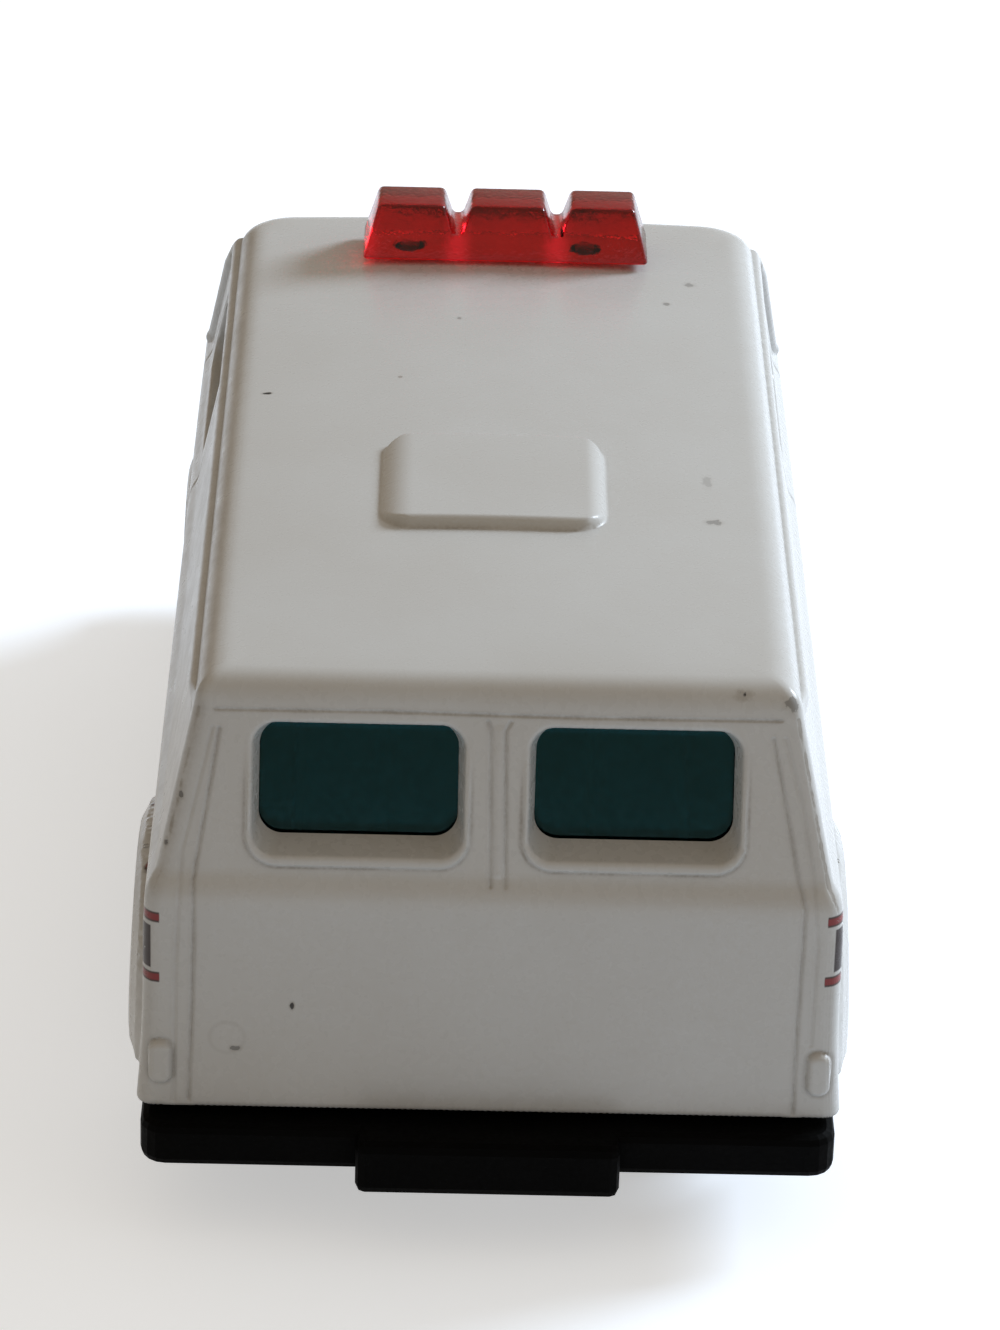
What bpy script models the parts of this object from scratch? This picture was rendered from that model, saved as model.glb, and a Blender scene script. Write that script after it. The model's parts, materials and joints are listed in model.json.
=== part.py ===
"""Die-cast toy police van: hollow zinc body, black plastic base, tinted glazing, red light bar, rolling wheels.

Metres, +Z up, +X towards the nose, +Y to the van's left. The origin is on the ground under the middle of the van.
"""

import math

import bmesh
import bpy
from mathutils import Matrix, Vector

MM = 0.001

# Body casting, outside sizes. Heights named UP are measured from its bottom edge.
BODY_LENGTH = 59.5 * MM        # rear doors to nose
BODY_WIDTH = 29.1 * MM         # over the flanks
BODY_GROUND = 5.65 * MM        # bottom edge above the ground
WALL = 1.3 * MM                # casting wall
BELT_UP = 9.65 * MM            # top of the upright lower body
SHOULDER_RISE = 1.2 * MM       # rounded shoulder above the belt
SHOULDER_IN = 0.5 * MM         # how far the shoulder steps in, flanks and rear
HOOD_RUN = 1.0 * MM            # depth of the short hood
GREENHOUSE_RISE = 7.2 * MM     # leaning panels between shoulder and roof edge
SIDE_LEAN = 1.55 * MM
REAR_LEAN = 1.5 * MM
WINDSCREEN_RUN = 5.3 * MM
ROOF_RADIUS = 1.25 * MM        # rounded roof edge
ROOF_CROWN = 0.35 * MM         # rise of the roof from its edge to its middle
SILL_SPREAD = 0.3 * MM         # flanks spread towards the bottom edge
SILL_TUCK = 0.08 * MM          # nose curls in towards the bottom edge
REAR_CORNER = 0.8 * MM         # plan radii of the corners
CAB_REAR_CORNER = 0.55 * MM
NOSE_CORNER = 1.5 * MM
CAB_FRONT_CORNER = 0.8 * MM
ROOF_FRONT_CORNER = 2.5 * MM
NOSE_BOW = 0.4 * MM            # the nose and windscreen bulge forward in the middle
NOSE_TAPER = 0.03 * MM         # the flanks draw in towards the nose
TAPER_RUN = 9.0 * MM
SMALLEST_RADIUS = 0.3 * MM

# Wheels and axles
WHEEL_RADIUS = 5.3 * MM
WHEEL_WIDTH = 4.2 * MM
WHEEL_INSET = 0.75 * MM        # outer wheel face inside the flank
WHEEL_BOSS = 1.5 * MM          # radius of the hub boss round the bore
RIM_RADIUS = 3.5 * MM
RIM_DEPTH = 0.55 * MM
TYRE_ROUND = 0.55 * MM
WELL_DEPTH = 2.0 * MM          # hollow in the inner face of the wheel
REAR_SETBACK = 12.5 * MM       # rear axle ahead of the rear doors
FRONT_SETBACK = 9.8 * MM        # front axle behind the nose
AXLE_RADIUS = 0.6 * MM
AXLE_HEAD_RADIUS = 1.05 * MM
AXLE_HEAD_RISE = 0.45 * MM
RUNNING_GAP = 0.09 * MM        # round the axle, in wheels and base
SIDE_PLAY = 0.25 * MM          # beside the wheels
ARCH_CLEARANCE = 0.8 * MM      # round the wheel
FLARE_WIDTH = 0.9 * MM         # swelling of the flank above the arch
FLARE_FRONT = 0.5 * MM         # how far each swelling stands proud
FLARE_REAR = 0.95 * MM
FLARE_RUN_FRONT = 1.8 * MM     # swelling beside the arch, along the van
FLARE_RUN_REAR = 4.6 * MM

# Base
FIT_GAP = 0.3 * MM             # between pieces that seat on each other
BASE_THICKNESS = 1.95 * MM
BASE_SIDE_IN = 0.2 * MM        # base inside the casting's bottom edge
BUMPER_REACH_REAR = 1.1 * MM
BUMPER_REACH_FRONT = 1.1 * MM
BUMPER_CORNER = 1.1 * MM
BUMPER_EDGE = 0.35 * MM
STEP_REACH = 1.2 * MM          # rear step behind the rear bumper
STEP_WIDTH = 11.1 * MM
STEP_DROP = 0.5 * MM           # step below the base plate
STEP_DEPTH = 3.0 * MM
STEP_EDGE = 0.4 * MM
BEAM_LENGTH = 3.6 * MM         # axle beam, along the van
BEAM_WALL = 0.9 * MM           # beam above the axle's centre line
PAD_AXLE_GAP = 10.1 * MM       # plain raised pad under the belly, from each axle
PAD_WIDTH = 11.0 * MM
PAD_DROP = 0.8 * MM
PAD_CORNER = 1.0 * MM
SHAFT_RADIUS = 0.7 * MM        # moulded drive shaft under the base
SILL_HEIGHT = 1.2 * MM         # locating rib inside the casting
SILL_WALL = 1.0 * MM

# Rivets and their posts
POST_RADIUS = 2.0 * MM
POST_BITE = 0.4 * MM           # how far a post sinks into the end wall
RIVET_RADIUS = 0.8 * MM
RIVET_HEAD_RADIUS = 1.7 * MM
RIVET_HEAD = 0.45 * MM
RIVET_REACH = 4.2 * MM         # shank length inside the post
RIVET_GAP = 0.1 * MM
RIVET_SINK = 0.75 * MM         # head recess in the base
POST_ROOF = 0.9 * MM           # solid end of the post above its hole

# Windows. Sizes are along the leaning panels, from the shoulder.
GLASS = 0.8 * MM
GLASS_BELOW = 0.2 * MM         # glazing skirt starts this far above the shoulder
REAR_PANE_INNER_Y = 1.45 * MM
REAR_PANE_SIDE = 4.8 * MM      # outer edge inside the flank
REAR_PANE_LOW = 1.55 * MM
REAR_PANE_HIGH = 6.45 * MM
DOOR_PANE_FRONT = 7.6 * MM     # behind the nose
DOOR_PANE_LENGTH = 11.4 * MM
DOOR_PANE_RAKE = 3.2 * MM      # lean of the front edge
DOOR_PANE_LOW = 0.9 * MM
DOOR_PANE_HIGH = 5.6 * MM
SCREEN_LOW = 0.9 * MM
SCREEN_HIGH = 6.9 * MM
SCREEN_SIDE_LOW = 3.5 * MM     # windscreen edge inside the flank, bottom and top
SCREEN_SIDE_HIGH = 5.1 * MM
PANE_RADIUS = 1.0 * MM
PANE_DRAFT = 0.2 * MM          # apertures open out towards the skin
SILL_DRAFT = 0.5 * MM         # deeper slope on the lower sill of the rear panes
FRAME_WIDTH = 0.45 * MM        # raised frame round the rear panes
FRAME_PROUD = 0.14 * MM

# Roof fittings
HATCH_SETBACK = 16.2 * MM      # rear edge ahead of the rear doors
HATCH_LENGTH = 9.2 * MM
HATCH_WIDTH = 10.0 * MM
HATCH_TOP_LENGTH = 8.5 * MM
HATCH_TOP_WIDTH = 7.5 * MM
HATCH_RISE = 0.65 * MM
HATCH_CORNER = 1.5 * MM
RAIL_RADIUS = 0.28 * MM        # drip rail
RAIL_START = 1.0 * MM
BAR_SETBACK = 12.25 * MM       # light bar, middle behind the nose
BAR_LENGTH = 3.9 * MM
BAR_WIDTH = 13.7 * MM
BAR_TOP_LENGTH = 2.5 * MM
BAR_TOP_WIDTH = 12.2 * MM
BAR_RISE = 2.6 * MM
BAR_EDGE = 0.2 * MM
NOTCH_Y = 2.15 * MM            # grooves between the three lobes
NOTCH_TOP = 1.3 * MM
NOTCH_BOTTOM = 0.45 * MM
NOTCH_DEPTH = 1.4 * MM
PEG_Y = 4.2 * MM
PEG_RADIUS = 0.75 * MM
PEG_GAP = 0.1 * MM
PEG_BELOW = 0.5 * MM           # peg end under the roof

# Lamps and grille
TAIL_SIDE = 0.78 * MM          # lamp middle inside the flank
TAIL_UP = 2.15 * MM
TAIL_WIDTH = 1.0 * MM
TAIL_HEIGHT = 2.1 * MM
TAIL_PROUD = 0.35 * MM
GRILLE_LAMP_GAP = 0.5 * MM     # between grille and headlamps
GRILLE_HEIGHT = 4.4 * MM
GRILLE_UP = 3.05 * MM
GRILLE_DEPTH = 0.45 * MM
GRILLE_BARS = 5
GRILLE_BAR = 0.34 * MM
HEADLAMP_SIDE = 5.8 * MM       # lamp middle inside the flank
HEADLAMP_RADIUS = 2.1 * MM
HEADLAMP_PROUD = 0.4 * MM

# Interior
TRAY_FLOOR = 0.9 * MM
TRAY_SIDE_IN = 0.8 * MM        # tray inside the wheels' inner faces
TRAY_END_GAP = 0.6 * MM        # beside the posts
SEAT_BASE_UP = 2.2 * MM
SEAT_BACK_UP = 7.0 * MM
SEAT_WIDTH = 6.2 * MM
SEAT_LENGTH = 6.0 * MM
SEAT_BACK = 1.8 * MM
SEAT_SIDE_GAP = 0.65 * MM      # seat inside the tray edge
SEAT_X = 8.6 * MM              # seat cushion's rear edge behind the front axle
BENCH_UP = 3.4 * MM
BENCH_WIDTH = 4.2 * MM
BENCH_REAR_GAP = 2.0 * MM      # bench ahead of the tray rear
DASH_LENGTH = 3.0 * MM
DASH_UP = 5.6 * MM
SEAT_EDGE = 0.5 * MM
WHEEL_RIM = 2.0 * MM           # steering wheel
WHEEL_RIM_WIRE = 0.35 * MM
COLUMN_RADIUS = 0.5 * MM
COLUMN_TILT = math.radians(50.0)
RETAINER_GAP = 0.2 * MM

# Places worked out from the sizes
REAR_REACH = BUMPER_REACH_REAR + STEP_REACH
OVERALL_LENGTH = REAR_REACH + BODY_LENGTH + BUMPER_REACH_FRONT
REAR_X = REAR_REACH - OVERALL_LENGTH / 2
NOSE_X = REAR_X + BODY_LENGTH
HALF = BODY_WIDTH / 2
SHOULDER_UP = BELT_UP + SHOULDER_RISE
EDGE_UP = SHOULDER_UP + GREENHOUSE_RISE
ROOF_UP = EDGE_UP + ROOF_RADIUS
ROOF_TOP = BODY_GROUND + ROOF_UP + ROOF_CROWN
AXLE_Z = WHEEL_RADIUS
REAR_AXLE_X = REAR_X + REAR_SETBACK
FRONT_AXLE_X = NOSE_X - FRONT_SETBACK
WHEEL_OUTER_Y = HALF - WHEEL_INSET
WHEEL_INNER_Y = WHEEL_OUTER_Y - WHEEL_WIDTH
ARCH_RADIUS = WHEEL_RADIUS + ARCH_CLEARANCE
BASE_TOP = BODY_GROUND - FIT_GAP
BASE_BOTTOM = BASE_TOP - BASE_THICKNESS
BEAM_TOP = AXLE_Z + BEAM_WALL
TRAY_BOTTOM = BEAM_TOP + FIT_GAP
TRAY_TOP = TRAY_BOTTOM + TRAY_FLOOR
TRAY_HALF = WHEEL_INNER_Y - TRAY_SIDE_IN
REAR_POST_X = REAR_X + WALL - POST_BITE + POST_RADIUS
FRONT_POST_X = NOSE_X - SILL_TUCK - WALL + POST_BITE - POST_RADIUS - NOSE_BOW * 0.1
BAR_X = NOSE_X - BAR_SETBACK
TAIL_Y = HALF - TAIL_SIDE
HEADLAMP_Y = HALF - HEADLAMP_SIDE
GRILLE_WIDTH = 2 * (HEADLAMP_Y - HEADLAMP_RADIUS - GRILLE_LAMP_GAP)
SEAT_Y = TRAY_HALF - SEAT_SIDE_GAP - SEAT_WIDTH / 2
PAD_LENGTH = FRONT_AXLE_X - REAR_AXLE_X - 2 * PAD_AXLE_GAP

ROUND_STEPS = 32               # facets round wheels and arches
SMALL_STEPS = 20               # facets round pins and holes
ARC_STEPS = 4                  # facets on a rounded edge


def clear_scene():
    for item in list(bpy.data.objects):
        bpy.data.objects.remove(item, do_unlink=True)


def make_collection(name):
    group = bpy.data.collections.new(name)
    bpy.context.scene.collection.children.link(group)
    return group


clear_scene()
PARTS = make_collection("police_van")
CUTTERS = make_collection("cutters")


def make_material(name, colour, roughness, metallic=0.0, alpha=1.0):
    material = bpy.data.materials.new(name)
    material.use_nodes = True
    shader = material.node_tree.nodes["Principled BSDF"]
    shader.inputs["Base Color"].default_value = (*colour, 1.0)
    shader.inputs["Roughness"].default_value = roughness
    shader.inputs["Metallic"].default_value = metallic
    shader.inputs["Alpha"].default_value = alpha
    return material


def make_object(name, mesh, group=None, material=None):
    item = bpy.data.objects.new(name, mesh)
    (group or CUTTERS).objects.link(item)
    if group is None:
        item.hide_render = True
        item.display_type = "WIRE"
    if material:
        mesh.materials.append(material)
    return item


def mesh_from_bmesh(name, bm, smooth=False, sharp=35.0):
    bmesh.ops.recalc_face_normals(bm, faces=bm.faces)
    mesh = bpy.data.meshes.new(name)
    bm.to_mesh(mesh)
    bm.free()
    if smooth:
        mesh.shade_smooth()
        mesh.set_sharp_from_angle(angle=math.radians(sharp))
    return mesh


def loft_mesh(name, rings, smooth=False):
    """Closed skin over rings that have the same number of points."""
    bm = bmesh.new()
    rows = [[bm.verts.new(point) for point in ring] for ring in rings]
    count = len(rows[0])
    for lower, upper in zip(rows, rows[1:]):
        for i in range(count):
            j = (i + 1) % count
            bm.faces.new((lower[i], lower[j], upper[j], upper[i]))
    bm.faces.new(list(reversed(rows[0])))
    bm.faces.new(rows[-1])
    return mesh_from_bmesh(name, bm, smooth)


def rounded_outline(corners, radius, steps=ARC_STEPS):
    """Corners of a flat outline, each replaced by an arc of the radius given."""
    points = []
    total = len(corners)
    for i, corner in enumerate(corners):
        here = Vector(corner)
        before = (Vector(corners[i - 1]) - here).normalized()
        after = (Vector(corners[(i + 1) % total]) - here).normalized()
        half_angle = before.angle(after) / 2
        reach = radius / math.tan(half_angle)
        centre = here + (before + after).normalized() * (radius / math.sin(half_angle))
        start = here + before * reach - centre
        end = here + after * reach - centre
        turn = start.angle_signed(end)
        for k in range(steps + 1):
            spoke = Vector(start)
            spoke.rotate(Matrix.Rotation(-turn * k / steps, 2))
            points.append(centre + spoke)
    return points


def rectangle(length, width):
    return [(-length / 2, -width / 2), (length / 2, -width / 2), (length / 2, width / 2), (-length / 2, width / 2)]


def outline_object(name, outline, z_low, z_high, group=None, material=None):
    """Flat outline, extruded between two heights."""
    curve = bpy.data.curves.new(name + "_outline", "CURVE")
    curve.dimensions = "2D"
    curve.fill_mode = "BOTH"
    curve.extrude = (z_high - z_low) / 2
    spline = curve.splines.new("POLY")
    spline.points.add(len(outline) - 1)
    for point, place in zip(spline.points, outline):
        point.co = (place[0], place[1], 0.0, 1.0)
    spline.use_cyclic_u = True
    holder = bpy.data.objects.new(name + "_outline", curve)
    bpy.context.scene.collection.objects.link(holder)
    holder.location = (0.0, 0.0, (z_low + z_high) / 2)
    return curve_to_object(name, holder, group, material)


def curve_to_object(name, holder, group=None, material=None):
    bpy.context.view_layer.update()
    evaluated = holder.evaluated_get(bpy.context.evaluated_depsgraph_get())
    mesh = bpy.data.meshes.new_from_object(evaluated)
    bm = bmesh.new()
    bm.from_mesh(mesh)
    bmesh.ops.remove_doubles(bm, verts=bm.verts, dist=1e-6)
    bm.transform(holder.matrix_world)
    bpy.data.meshes.remove(mesh)
    bpy.data.objects.remove(holder, do_unlink=True)
    return make_object(name, mesh_from_bmesh(name, bm), group, material)


def box(name, low, high, group=None, material=None):
    bm = bmesh.new()
    bmesh.ops.create_cube(bm, size=1.0)
    size = [b - a for a, b in zip(low, high)]
    middle = [(a + b) / 2 for a, b in zip(low, high)]
    bmesh.ops.scale(bm, vec=size, verts=bm.verts)
    bmesh.ops.translate(bm, vec=middle, verts=bm.verts)
    return make_object(name, mesh_from_bmesh(name, bm), group, material)


def cylinder(name, radius, start, end, steps=SMALL_STEPS, top_radius=None):
    """Round bar or hole between two points."""
    start = Vector(start)
    end = Vector(end)
    bm = bmesh.new()
    bmesh.ops.create_cone(
        bm,
        cap_ends=True,
        segments=steps,
        radius1=radius,
        radius2=radius if top_radius is None else top_radius,
        depth=(end - start).length,
    )
    turn = Vector((0, 0, 1)).rotation_difference(end - start).to_matrix().to_4x4()
    bm.transform(Matrix.Translation((start + end) / 2) @ turn)
    return make_object(name, mesh_from_bmesh(name, bm, smooth=True))


def ellipsoid(name, centre, radii, steps=16):
    bm = bmesh.new()
    bmesh.ops.create_uvsphere(bm, u_segments=steps, v_segments=steps // 2, radius=1.0)
    bmesh.ops.scale(bm, vec=radii, verts=bm.verts)
    bmesh.ops.translate(bm, vec=centre, verts=bm.verts)
    return make_object(name, mesh_from_bmesh(name, bm, smooth=True))


def turned(name, profile, steps, group=None, material=None, closed=False):
    """Profile of radius and height, run down its outer side, spun about its own Z axis."""
    mesh = bpy.data.meshes.new(name)
    points = [(radius, 0.0, height) for radius, height in profile]
    edges = [(i, i + 1) for i in range(len(points) - 1)]
    if closed:
        edges.append((len(points) - 1, 0))
    mesh.from_pydata(points, edges, [])
    item = make_object(name, mesh, group, material)
    screw = item.modifiers.new("spin", "SCREW")
    screw.axis = "Z"
    screw.steps = steps
    screw.render_steps = steps
    screw.use_merge_vertices = True
    screw.merge_threshold = 1e-6
    screw.use_smooth_shade = True
    return item


def boolean(item, other, operation):
    step = item.modifiers.new(operation.lower() + "_" + other.name, "BOOLEAN")
    step.operation = operation
    step.solver = "EXACT"
    step.object = other
    return step


def join(item, *others):
    for other in others:
        boolean(item, other, "UNION")


def cut(item, *others):
    for other in others:
        boolean(item, other, "DIFFERENCE")


def bevel(item, width, segments=2, angle=40.0):
    step = item.modifiers.new("rounded_edges", "BEVEL")
    step.width = width
    step.segments = segments
    step.limit_method = "ANGLE"
    step.angle_limit = math.radians(angle)
    return step


# The body is a stack of plan outlines, each set in from the outermost one at the rear, flanks and nose.


def body_levels():
    """Height, set-in at rear, flank and front, corner radii and nose taper of each plan outline."""
    levels = [
        (0.0, 0.0, -SILL_SPREAD, SILL_TUCK, REAR_CORNER, NOSE_CORNER, NOSE_TAPER),
        (BELT_UP * 0.3, 0.0, -SILL_SPREAD * 0.3, SILL_TUCK * 0.2, REAR_CORNER, NOSE_CORNER, NOSE_TAPER),
        (BELT_UP * 0.65, 0.0, 0.0, 0.0, REAR_CORNER, NOSE_CORNER, NOSE_TAPER),
        (BELT_UP, 0.0, SHOULDER_IN * 0.1, 0.0, REAR_CORNER, NOSE_CORNER, NOSE_TAPER),
    ]
    full = math.radians(75.0)
    for k in range(1, ARC_STEPS + 1):
        turn = full * k / ARC_STEPS
        share = (1.0 - math.cos(turn)) / (1.0 - math.cos(full))
        rise = math.sin(turn) / math.sin(full)
        step_in = SHOULDER_IN * (0.1 + 0.9 * share)
        corner = REAR_CORNER + (CAB_REAR_CORNER - REAR_CORNER) * share
        nose = NOSE_CORNER + (CAB_FRONT_CORNER - NOSE_CORNER) * share
        levels.append(
            (BELT_UP + SHOULDER_RISE * rise, SHOULDER_IN * share, step_in, HOOD_RUN * share, corner, nose, NOSE_TAPER)
        )
    for k in range(ARC_STEPS + 2):
        turn = math.radians(90.0) * k / (ARC_STEPS + 1)
        run = ROOF_RADIUS * (1.0 - math.cos(turn))
        levels.append(
            (
                EDGE_UP + ROOF_RADIUS * math.sin(turn),
                SHOULDER_IN + REAR_LEAN + run,
                SHOULDER_IN + SIDE_LEAN + run,
                HOOD_RUN + WINDSCREEN_RUN + run * 1.4,
                max(CAB_REAR_CORNER - run * 0.4, SMALLEST_RADIUS),
                ROOF_FRONT_CORNER - run * 0.6,
                NOSE_TAPER * 0.3,
            )
        )
    edge = levels[-1]
    reach = HALF - edge[2]
    for share in (0.35, 0.7):
        levels.append(
            (
                edge[0] + ROOF_CROWN * (1.0 - (1.0 - share) ** 2) / 0.91,
                edge[1] + reach * share,
                edge[2] + reach * share,
                edge[3] + reach * share,
                edge[4],
                edge[5] * (1.0 - share),
                0.0,
            )
        )
    return levels


def plan_ring(level, inset=0.0, up=None):
    """Closed plan outline at one level, set in all round by the inset."""
    height, rear, side, front, rear_radius, front_radius, taper = level
    z = BODY_GROUND + (height if up is None else up)
    back = REAR_X + rear + inset
    nose = NOSE_X - front - inset
    half = HALF - side - inset
    r_rear = max(rear_radius - inset, SMALLEST_RADIUS)
    r_front = max(front_radius - inset, SMALLEST_RADIUS)
    half_front = half - taper
    corner_x = nose - NOSE_BOW - r_front
    points = [(back, 0.0), (back, (half - r_rear) / 2)]
    for k in range(ARC_STEPS + 1):
        turn = math.radians(90.0) * k / ARC_STEPS
        points.append((back + r_rear - r_rear * math.cos(turn), half - r_rear + r_rear * math.sin(turn)))
    points.append((corner_x - TAPER_RUN, half))
    for k in range(ARC_STEPS + 2):
        turn = math.radians(90.0) * k / (ARC_STEPS + 1)
        points.append((corner_x + r_front * math.sin(turn), half_front - r_front + r_front * math.cos(turn)))
    flat = half_front - r_front
    for share in (0.66, 0.33, 0.0):
        points.append((nose - NOSE_BOW * share**2, flat * share))
    mirrored = [(x, -y) for x, y in reversed(points[1:-1])]
    return [Vector((x, y, z)) for x, y in points + mirrored]


def blend_level(low, high, share):
    return tuple(a + (b - a) * share for a, b in zip(low, high))


def lowered(height, wall):
    """Underside of the skin: no drop on upright walls, the full wall under the roof."""
    share = min(max((height - BELT_UP) / (ROOF_UP - BELT_UP), 0.0), 1.0)
    return height - wall * share


LEVELS = body_levels()
SHOULDER = LEVELS[3 + ARC_STEPS]
ROOF_EDGE = LEVELS[4 + ARC_STEPS]

white_enamel = make_material("white_enamel", (0.83, 0.82, 0.80), 0.25)
black_plastic = make_material("black_plastic", (0.02, 0.02, 0.022), 0.45)
tinted_clear = make_material("tinted_clear", (0.03, 0.08, 0.09), 0.08)
red_clear = make_material("red_clear", (0.72, 0.03, 0.02), 0.12)
grey_plastic = make_material("grey_plastic", (0.16, 0.16, 0.17), 0.5)
wheel_plastic = make_material("wheel_plastic", (0.03, 0.03, 0.03), 0.5)
bright_steel = make_material("bright_steel", (0.62, 0.62, 0.63), 0.3, 1.0)


# Windows are drafted apertures, square to the panels that they pierce.


def panel_axes(low, high, outward):
    """Up-the-panel axis and outward normal of a leaning panel."""
    up = (high - low).normalized()
    normal = (Vector(outward) - up * up.dot(Vector(outward))).normalized()
    return up, normal


def pane_cutter(name, origin, across, up, normal, inner, outer):
    """Aperture from the inner outline, behind the wall, to the outer outline, at the skin."""
    deep = -(WALL * 1.6)
    shallow = WALL * 0.5
    rings = []
    for depth, share in ((deep, (deep + WALL) / WALL), (shallow, 1.0 + shallow / WALL)):
        ring = []
        for a, b in zip(inner, outer):
            place = a + (b - a) * share
            ring.append(origin + across * place[0] + up * place[1] + normal * depth)
        rings.append(ring)
    return make_object(name, loft_mesh(name, rings))


def pane_frame(name, origin, across, up, normal, outline):
    rings = []
    for depth in (-WALL * 0.5, FRAME_PROUD):
        rings.append([origin + across * p[0] + up * p[1] + normal * depth for p in outline])
    return make_object(name, loft_mesh(name, rings))


def grown(corners, left, right, low, high):
    """Four corners, in order low-left, low-right, high-right, high-left, moved outwards."""
    a, b, c, d = corners
    return [
        (a[0] - left, a[1] - low),
        (b[0] + right, b[1] - low),
        (c[0] + right, c[1] + high),
        (d[0] - left, d[1] + high),
    ]


rear_low = Vector((REAR_X + SHOULDER[1], 0.0, BODY_GROUND + SHOULDER_UP))
rear_high = Vector((REAR_X + ROOF_EDGE[1], 0.0, BODY_GROUND + EDGE_UP))
rear_up, rear_normal = panel_axes(rear_low, rear_high, (-1, 0, 0))
front_low = Vector((NOSE_X - SHOULDER[3], 0.0, BODY_GROUND + SHOULDER_UP))
front_high = Vector((NOSE_X - ROOF_EDGE[3], 0.0, BODY_GROUND + EDGE_UP))
front_up, front_normal = panel_axes(front_low, front_high, (1, 0, 0))


def window_cutters():
    cutters = []
    frames = []
    for side in (1, -1):
        low, high = REAR_PANE_LOW, REAR_PANE_HIGH
        near, far = side * REAR_PANE_INNER_Y, side * (HALF - REAR_PANE_SIDE)
        corners = [(min(near, far), low), (max(near, far), low), (max(near, far), high), (min(near, far), high)]
        wide = grown(corners, PANE_DRAFT, PANE_DRAFT, SILL_DRAFT, PANE_DRAFT)
        rim = grown(wide, FRAME_WIDTH, FRAME_WIDTH, FRAME_WIDTH, FRAME_WIDTH)
        inner = rounded_outline(corners, PANE_RADIUS)
        outer = rounded_outline(wide, PANE_RADIUS)
        name = "rear_pane_left" if side > 0 else "rear_pane_right"
        across = Vector((0, 1, 0))
        cutters.append(pane_cutter(name + "_cut", rear_low, across, rear_up, rear_normal, inner, outer))
        rim_outline = rounded_outline(rim, PANE_RADIUS + FRAME_WIDTH)
        frames.append(pane_frame(name + "_frame", rear_low, across, rear_up, rear_normal, rim_outline))
    for side in (1, -1):
        low = Vector((0, side * (HALF - SHOULDER[2]), BODY_GROUND + SHOULDER_UP))
        high = Vector((0, side * (HALF - ROOF_EDGE[2]), BODY_GROUND + EDGE_UP))
        up, normal = panel_axes(low, high, (0, side, 0))
        front = NOSE_X - DOOR_PANE_FRONT
        rear = front - DOOR_PANE_LENGTH
        rake = DOOR_PANE_RAKE
        corners = [(rear, DOOR_PANE_LOW), (front, DOOR_PANE_LOW), (front - rake, DOOR_PANE_HIGH), (rear, DOOR_PANE_HIGH)]
        wide = grown(corners, PANE_DRAFT, PANE_DRAFT, PANE_DRAFT, PANE_DRAFT)
        inner = rounded_outline(corners, PANE_RADIUS)
        outer = rounded_outline(wide, PANE_RADIUS)
        name = "door_pane_left" if side > 0 else "door_pane_right"
        cutters.append(pane_cutter(name + "_cut", low, Vector((1, 0, 0)), up, normal, inner, outer))
    wide_low, wide_high = HALF - SCREEN_SIDE_LOW, HALF - SCREEN_SIDE_HIGH
    corners = [(-wide_low, SCREEN_LOW), (wide_low, SCREEN_LOW), (wide_high, SCREEN_HIGH), (-wide_high, SCREEN_HIGH)]
    inner = rounded_outline(corners, PANE_RADIUS)
    outer = rounded_outline(grown(corners, PANE_DRAFT, PANE_DRAFT, PANE_DRAFT, PANE_DRAFT), PANE_RADIUS)
    origin = front_low - front_normal * (NOSE_BOW / 2)
    cutters.append(pane_cutter("windscreen_cut", origin, Vector((0, 1, 0)), front_up, front_normal, inner, outer))
    return cutters, frames


# Body casting


def drip_rails():
    """A rail along each roof side that runs down the windscreen pillar."""
    rails = []
    low_ring = plan_ring(SHOULDER)
    high_ring = plan_ring(ROOF_EDGE)
    first_front = 2 + ARC_STEPS + 1 + 1
    corner = first_front + 2
    for side in (1, -1):
        flip = Vector((1, side, 1))
        path = [high_ring[2 + ARC_STEPS] + Vector((RAIL_START, 0, 0)), high_ring[2 + ARC_STEPS + 1]]
        path += high_ring[first_front:corner + 1]
        path += [high_ring[corner].lerp(low_ring[corner], share) for share in (0.35, 0.7, 1.0)]
        curve = bpy.data.curves.new("drip_rail", "CURVE")
        curve.dimensions = "3D"
        curve.bevel_depth = RAIL_RADIUS
        curve.bevel_resolution = 1
        curve.use_fill_caps = True
        spline = curve.splines.new("POLY")
        spline.points.add(len(path) - 1)
        for point, place in zip(spline.points, path):
            point.co = (*(place * flip), 1.0)
        holder = bpy.data.objects.new("drip_rail", curve)
        bpy.context.scene.collection.objects.link(holder)
        rails.append(curve_to_object("drip_rail_left" if side > 0 else "drip_rail_right", holder))
    return rails


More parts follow.
